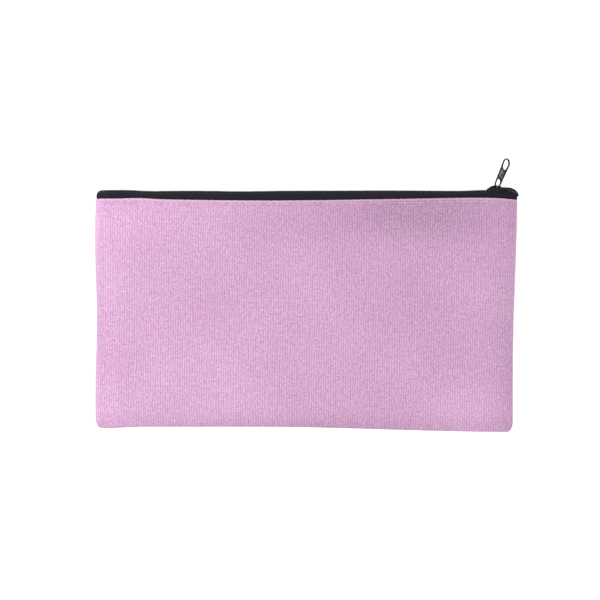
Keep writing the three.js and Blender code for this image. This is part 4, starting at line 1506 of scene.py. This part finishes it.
# ---- Pull tab ----
@dataclass
class PullTab:
    """The stamped pull tab: a ring round the bridge, a sunk field, and a finger eye at the tip."""

    length: float = 16.5
    width: float = 5.2
    foot_width: float = 4.2
    thickness: float = 0.6
    rim: float = 0.62
    tip_rim: float = 0.75
    ring_rim: float = 0.55
    ring_length: float = 4.2
    eye_length: float = 5.35
    web: float = 0.5
    field_depth: float = 0.18
    field_inset: float = 0.25  # from the rim's inner edge
    field_corner: float = 0.7
    round_edge: float = 0.1
    along_bridge: float = 1.0
    lift: float = 0.1
    lean: float = 24.0
    droop: float = 14.3
    twist: float = 43.0

    def stadium(self, piece: bpy.types.Object, radius: float, low: float, high: float,
                low_radius: float) -> None:
        """Adds, in edit mode, one closed outline with round ends, standing along Y, from low to high."""
        centre = high - radius
        bpy.ops.mesh.select_all(action="DESELECT")
        bpy.ops.mesh.primitive_circle_add(vertices=48, radius=radius * MM, fill_type="NOTHING",
                                          location=(0, centre * MM, 0))
        bpy.ops.object.mode_set(mode="OBJECT")
        shrink = low_radius / radius
        for vertex in piece.data.vertices:
            if vertex.select and vertex.co.y < centre * MM - SAME:
                vertex.co.x *= shrink
                vertex.co.y = (low + low_radius) * MM + (vertex.co.y - centre * MM) * shrink
        bpy.ops.object.mode_set(mode="EDIT")

    def flat_tab(self) -> bpy.types.Object:
        """Makes the tab flat, about its ring's middle: outline and eyes filled, thickened, fields sunk."""
        foot = self.foot_width / 2
        tip_y = self.length - foot
        ring = foot - self.ring_rim
        deselect()
        bpy.ops.mesh.primitive_circle_add(vertices=48, radius=self.width / 2 * MM, fill_type="NOTHING",
                                          location=(0, 0, 0))
        tab = bpy.context.object
        bpy.ops.object.mode_set(mode="EDIT")
        bpy.ops.mesh.delete(type="VERT")
        self.stadium(tab, self.width / 2, -foot, tip_y, foot)
        self.stadium(tab, ring, -ring, self.ring_length - ring, ring)
        eye_top = tip_y - self.tip_rim
        eye = self.width / 2 - self.rim
        self.stadium(tab, eye, eye_top - self.eye_length, eye_top, eye * 0.92)
        bpy.ops.mesh.select_all(action="SELECT")
        bpy.ops.mesh.fill(use_beauty=True)
        bpy.ops.mesh.select_all(action="SELECT")
        bpy.ops.mesh.normals_make_consistent(inside=False)
        bpy.ops.object.mode_set(mode="OBJECT")
        apply_modifier(tab, "SOLIDIFY", thickness=self.thickness * MM, offset=0.0, use_even_offset=False)
        field_low = self.ring_length - ring + self.ring_rim + self.web
        field_high = eye_top - self.eye_length - self.web
        half = self.width / 2 - self.rim - self.field_inset
        for face in (1, -1):
            level = face * self.thickness / 2
            cutter = cuboid((-half, field_low, level - self.field_depth),
                            (half, field_high, level + self.field_depth))
            bevel_edges(cutter, lambda a, b: abs(a.x - b.x) < SAME and abs(a.y - b.y) < SAME,
                        self.field_corner, 5)
            boolean(tab, cutter, "DIFFERENCE")
        apply_modifier(tab, "BEVEL", width=self.round_edge * MM, segments=3, limit_method="ANGLE",
                       angle_limit=math.radians(40), use_clamp_overlap=True)
        places = piece_points(tab)
        sunk = np.abs(places[:, 2]) < self.thickness / 2 - 0.6 * self.field_depth
        across, along = np.abs(places[:, 0]), np.abs(places[:, 1] - (field_low + field_high) / 2)
        within = (across < half + 0.01) & (along < (field_high - field_low) / 2 + 0.01)
        tab.data.attributes.new("field", "FLOAT", "POINT").data.foreach_set(
            "value", (sunk & within).astype(np.float32))
        return tab

    def piece(self, finishes: Finishes, slider: Slider) -> bpy.types.Object:
        """Makes the tab and hangs it on the slider's bridge, leaning over until its tip is on the table."""
        tab = self.flat_tab()
        turn = (Matrix.Rotation(-math.radians(self.lean), 4, "Z")
                @ Matrix.Rotation(-math.radians(self.droop), 4, "X")
                @ Matrix.Rotation(math.radians(self.twist), 4, "Y"))
        place = Vector((slider.x + self.along_bridge,
                        slider.y + slider.top + self.lift + self.foot_width / 2, slider.z))
        tab.matrix_world = Matrix.Translation(place * MM) @ turn
        settle_place(tab)
        turn_out(tab)
        smooth(tab, 35)
        tab.name = tab.data.name = "zip_pull_tab"
        dress(tab, finishes.tab)
        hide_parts("pull_tab")
        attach(tab, "pull_tab")
        return tab


# ---- Studio ----
@dataclass(frozen=True)
class Lamp:
    """A square soft light: its name, its place and size in millimetres, and its power."""

    name: str
    place: tuple[float, float, float]
    size: float
    power: float


@dataclass
class Studio:
    """A pale table under large soft lights, and the camera straight above."""

    floor_size: float = 4000.0
    floor_colour: str = "fbfbfb"
    floor_glow: float = 0.4  # a light table: its own light lifts the shadows
    camera_height: float = 836.0
    camera_x: float = -3.24
    camera_y: float = 4.86
    lens: float = 100.0
    sensor: float = 36.0
    sky_light: float = 0.52
    lamps: tuple[Lamp, ...] = (
        Lamp("key", (-520, -60, 520), 420, 4.6), Lamp("fill", (800, -300, 1000), 1200, 3.0),
        Lamp("top", (0, 100, 1300), 1500, 5.0))

    def floor(self) -> None:
        """Lays the table."""
        deselect()
        bpy.ops.mesh.primitive_plane_add(size=self.floor_size * MM, location=(0, 0, -0.05 * MM))
        table = bpy.context.object
        table.name = "table"
        material, tree, shader = start_material("matt_white_board")
        feed(tree, shader, {"Base Color": linear(self.floor_colour), "Roughness": 0.9,
                            "Emission Color": (1, 1, 1, 1), "Emission Strength": self.floor_glow})
        table.data.materials.append(material)

    def light(self, lamp: Lamp) -> None:
        """Adds a lamp that faces the case."""
        data = bpy.data.lights.new(lamp.name, "AREA")
        data.size = lamp.size * MM
        data.energy = lamp.power
        placed = bpy.data.objects.new(lamp.name, data)
        placed.location = Vector(lamp.place) * MM
        placed.rotation_mode = "QUATERNION"
        placed.rotation_quaternion = (-placed.location).to_track_quat("-Z", "Y")
        bpy.context.scene.collection.objects.link(placed)

    def sky(self) -> None:
        """Fills the room with even white light."""
        world = bpy.data.worlds.new("studio")
        world.use_nodes = True
        feed(world.node_tree, world.node_tree.nodes["Background"], {
            "Color": (1, 1, 1, 1), "Strength": self.sky_light})
        bpy.context.scene.world = world

    def camera(self) -> None:
        """Sets up the camera."""
        data = bpy.data.cameras.new("camera")
        data.lens = self.lens
        data.sensor_width = self.sensor
        data.clip_start = 0.01
        data.clip_end = 20
        camera = bpy.data.objects.new("camera", data)
        camera.location = Vector((self.camera_x, self.camera_y, self.camera_height)) * MM
        bpy.context.scene.collection.objects.link(camera)
        bpy.context.scene.camera = camera

    def build(self) -> None:
        """Builds the whole studio."""
        bpy.context.scene.view_settings.view_transform = "Standard"
        self.floor()
        self.sky()
        for lamp in self.lamps:
            self.light(lamp)
        self.camera()


# ---- The case ----
def report(piece: bpy.types.Object) -> bpy.types.Object:
    """Logs a finished piece and its count of faces."""
    LOG.info("%s: %d faces", piece.name, len(piece.data.polygons))
    return piece


def build_case() -> None:
    """Builds every piece of the case, in the order in which it is sewn."""
    finishes = Finishes.make()
    form = CaseForm.from_frame()
    seams = []
    for name in ("left", "right", "bottom"):
        seam = SeamAllowance(form, name)
        seams += [report(seam.strip(finishes)), report(seam.overlock(finishes))]
    for side in Side:
        zip_half = ZipHalf(form, side, stand=1.0 if side is Side.FRONT else 0.7)
        tape = report(zip_half.tape_piece(finishes))
        for make in (zip_half.coil_piece, zip_half.core_piece, zip_half.sewing_piece):
            report(make(finishes))
        panel = CanvasPanel(form, side)
        sheet = report(panel.sheet(finishes))
        stitches = report(panel.stitches(finishes))
    slider = Slider(form)
    report(slider.piece(finishes))
    report(PullTab().piece(finishes, slider))


def main() -> None:
    """Builds the case and its studio, and notes the two boxes."""
    logging.basicConfig(level=logging.INFO, format="%(name)s %(message)s")
    Studio().build()
    build_case()


if __name__ == "__main__":
    main()
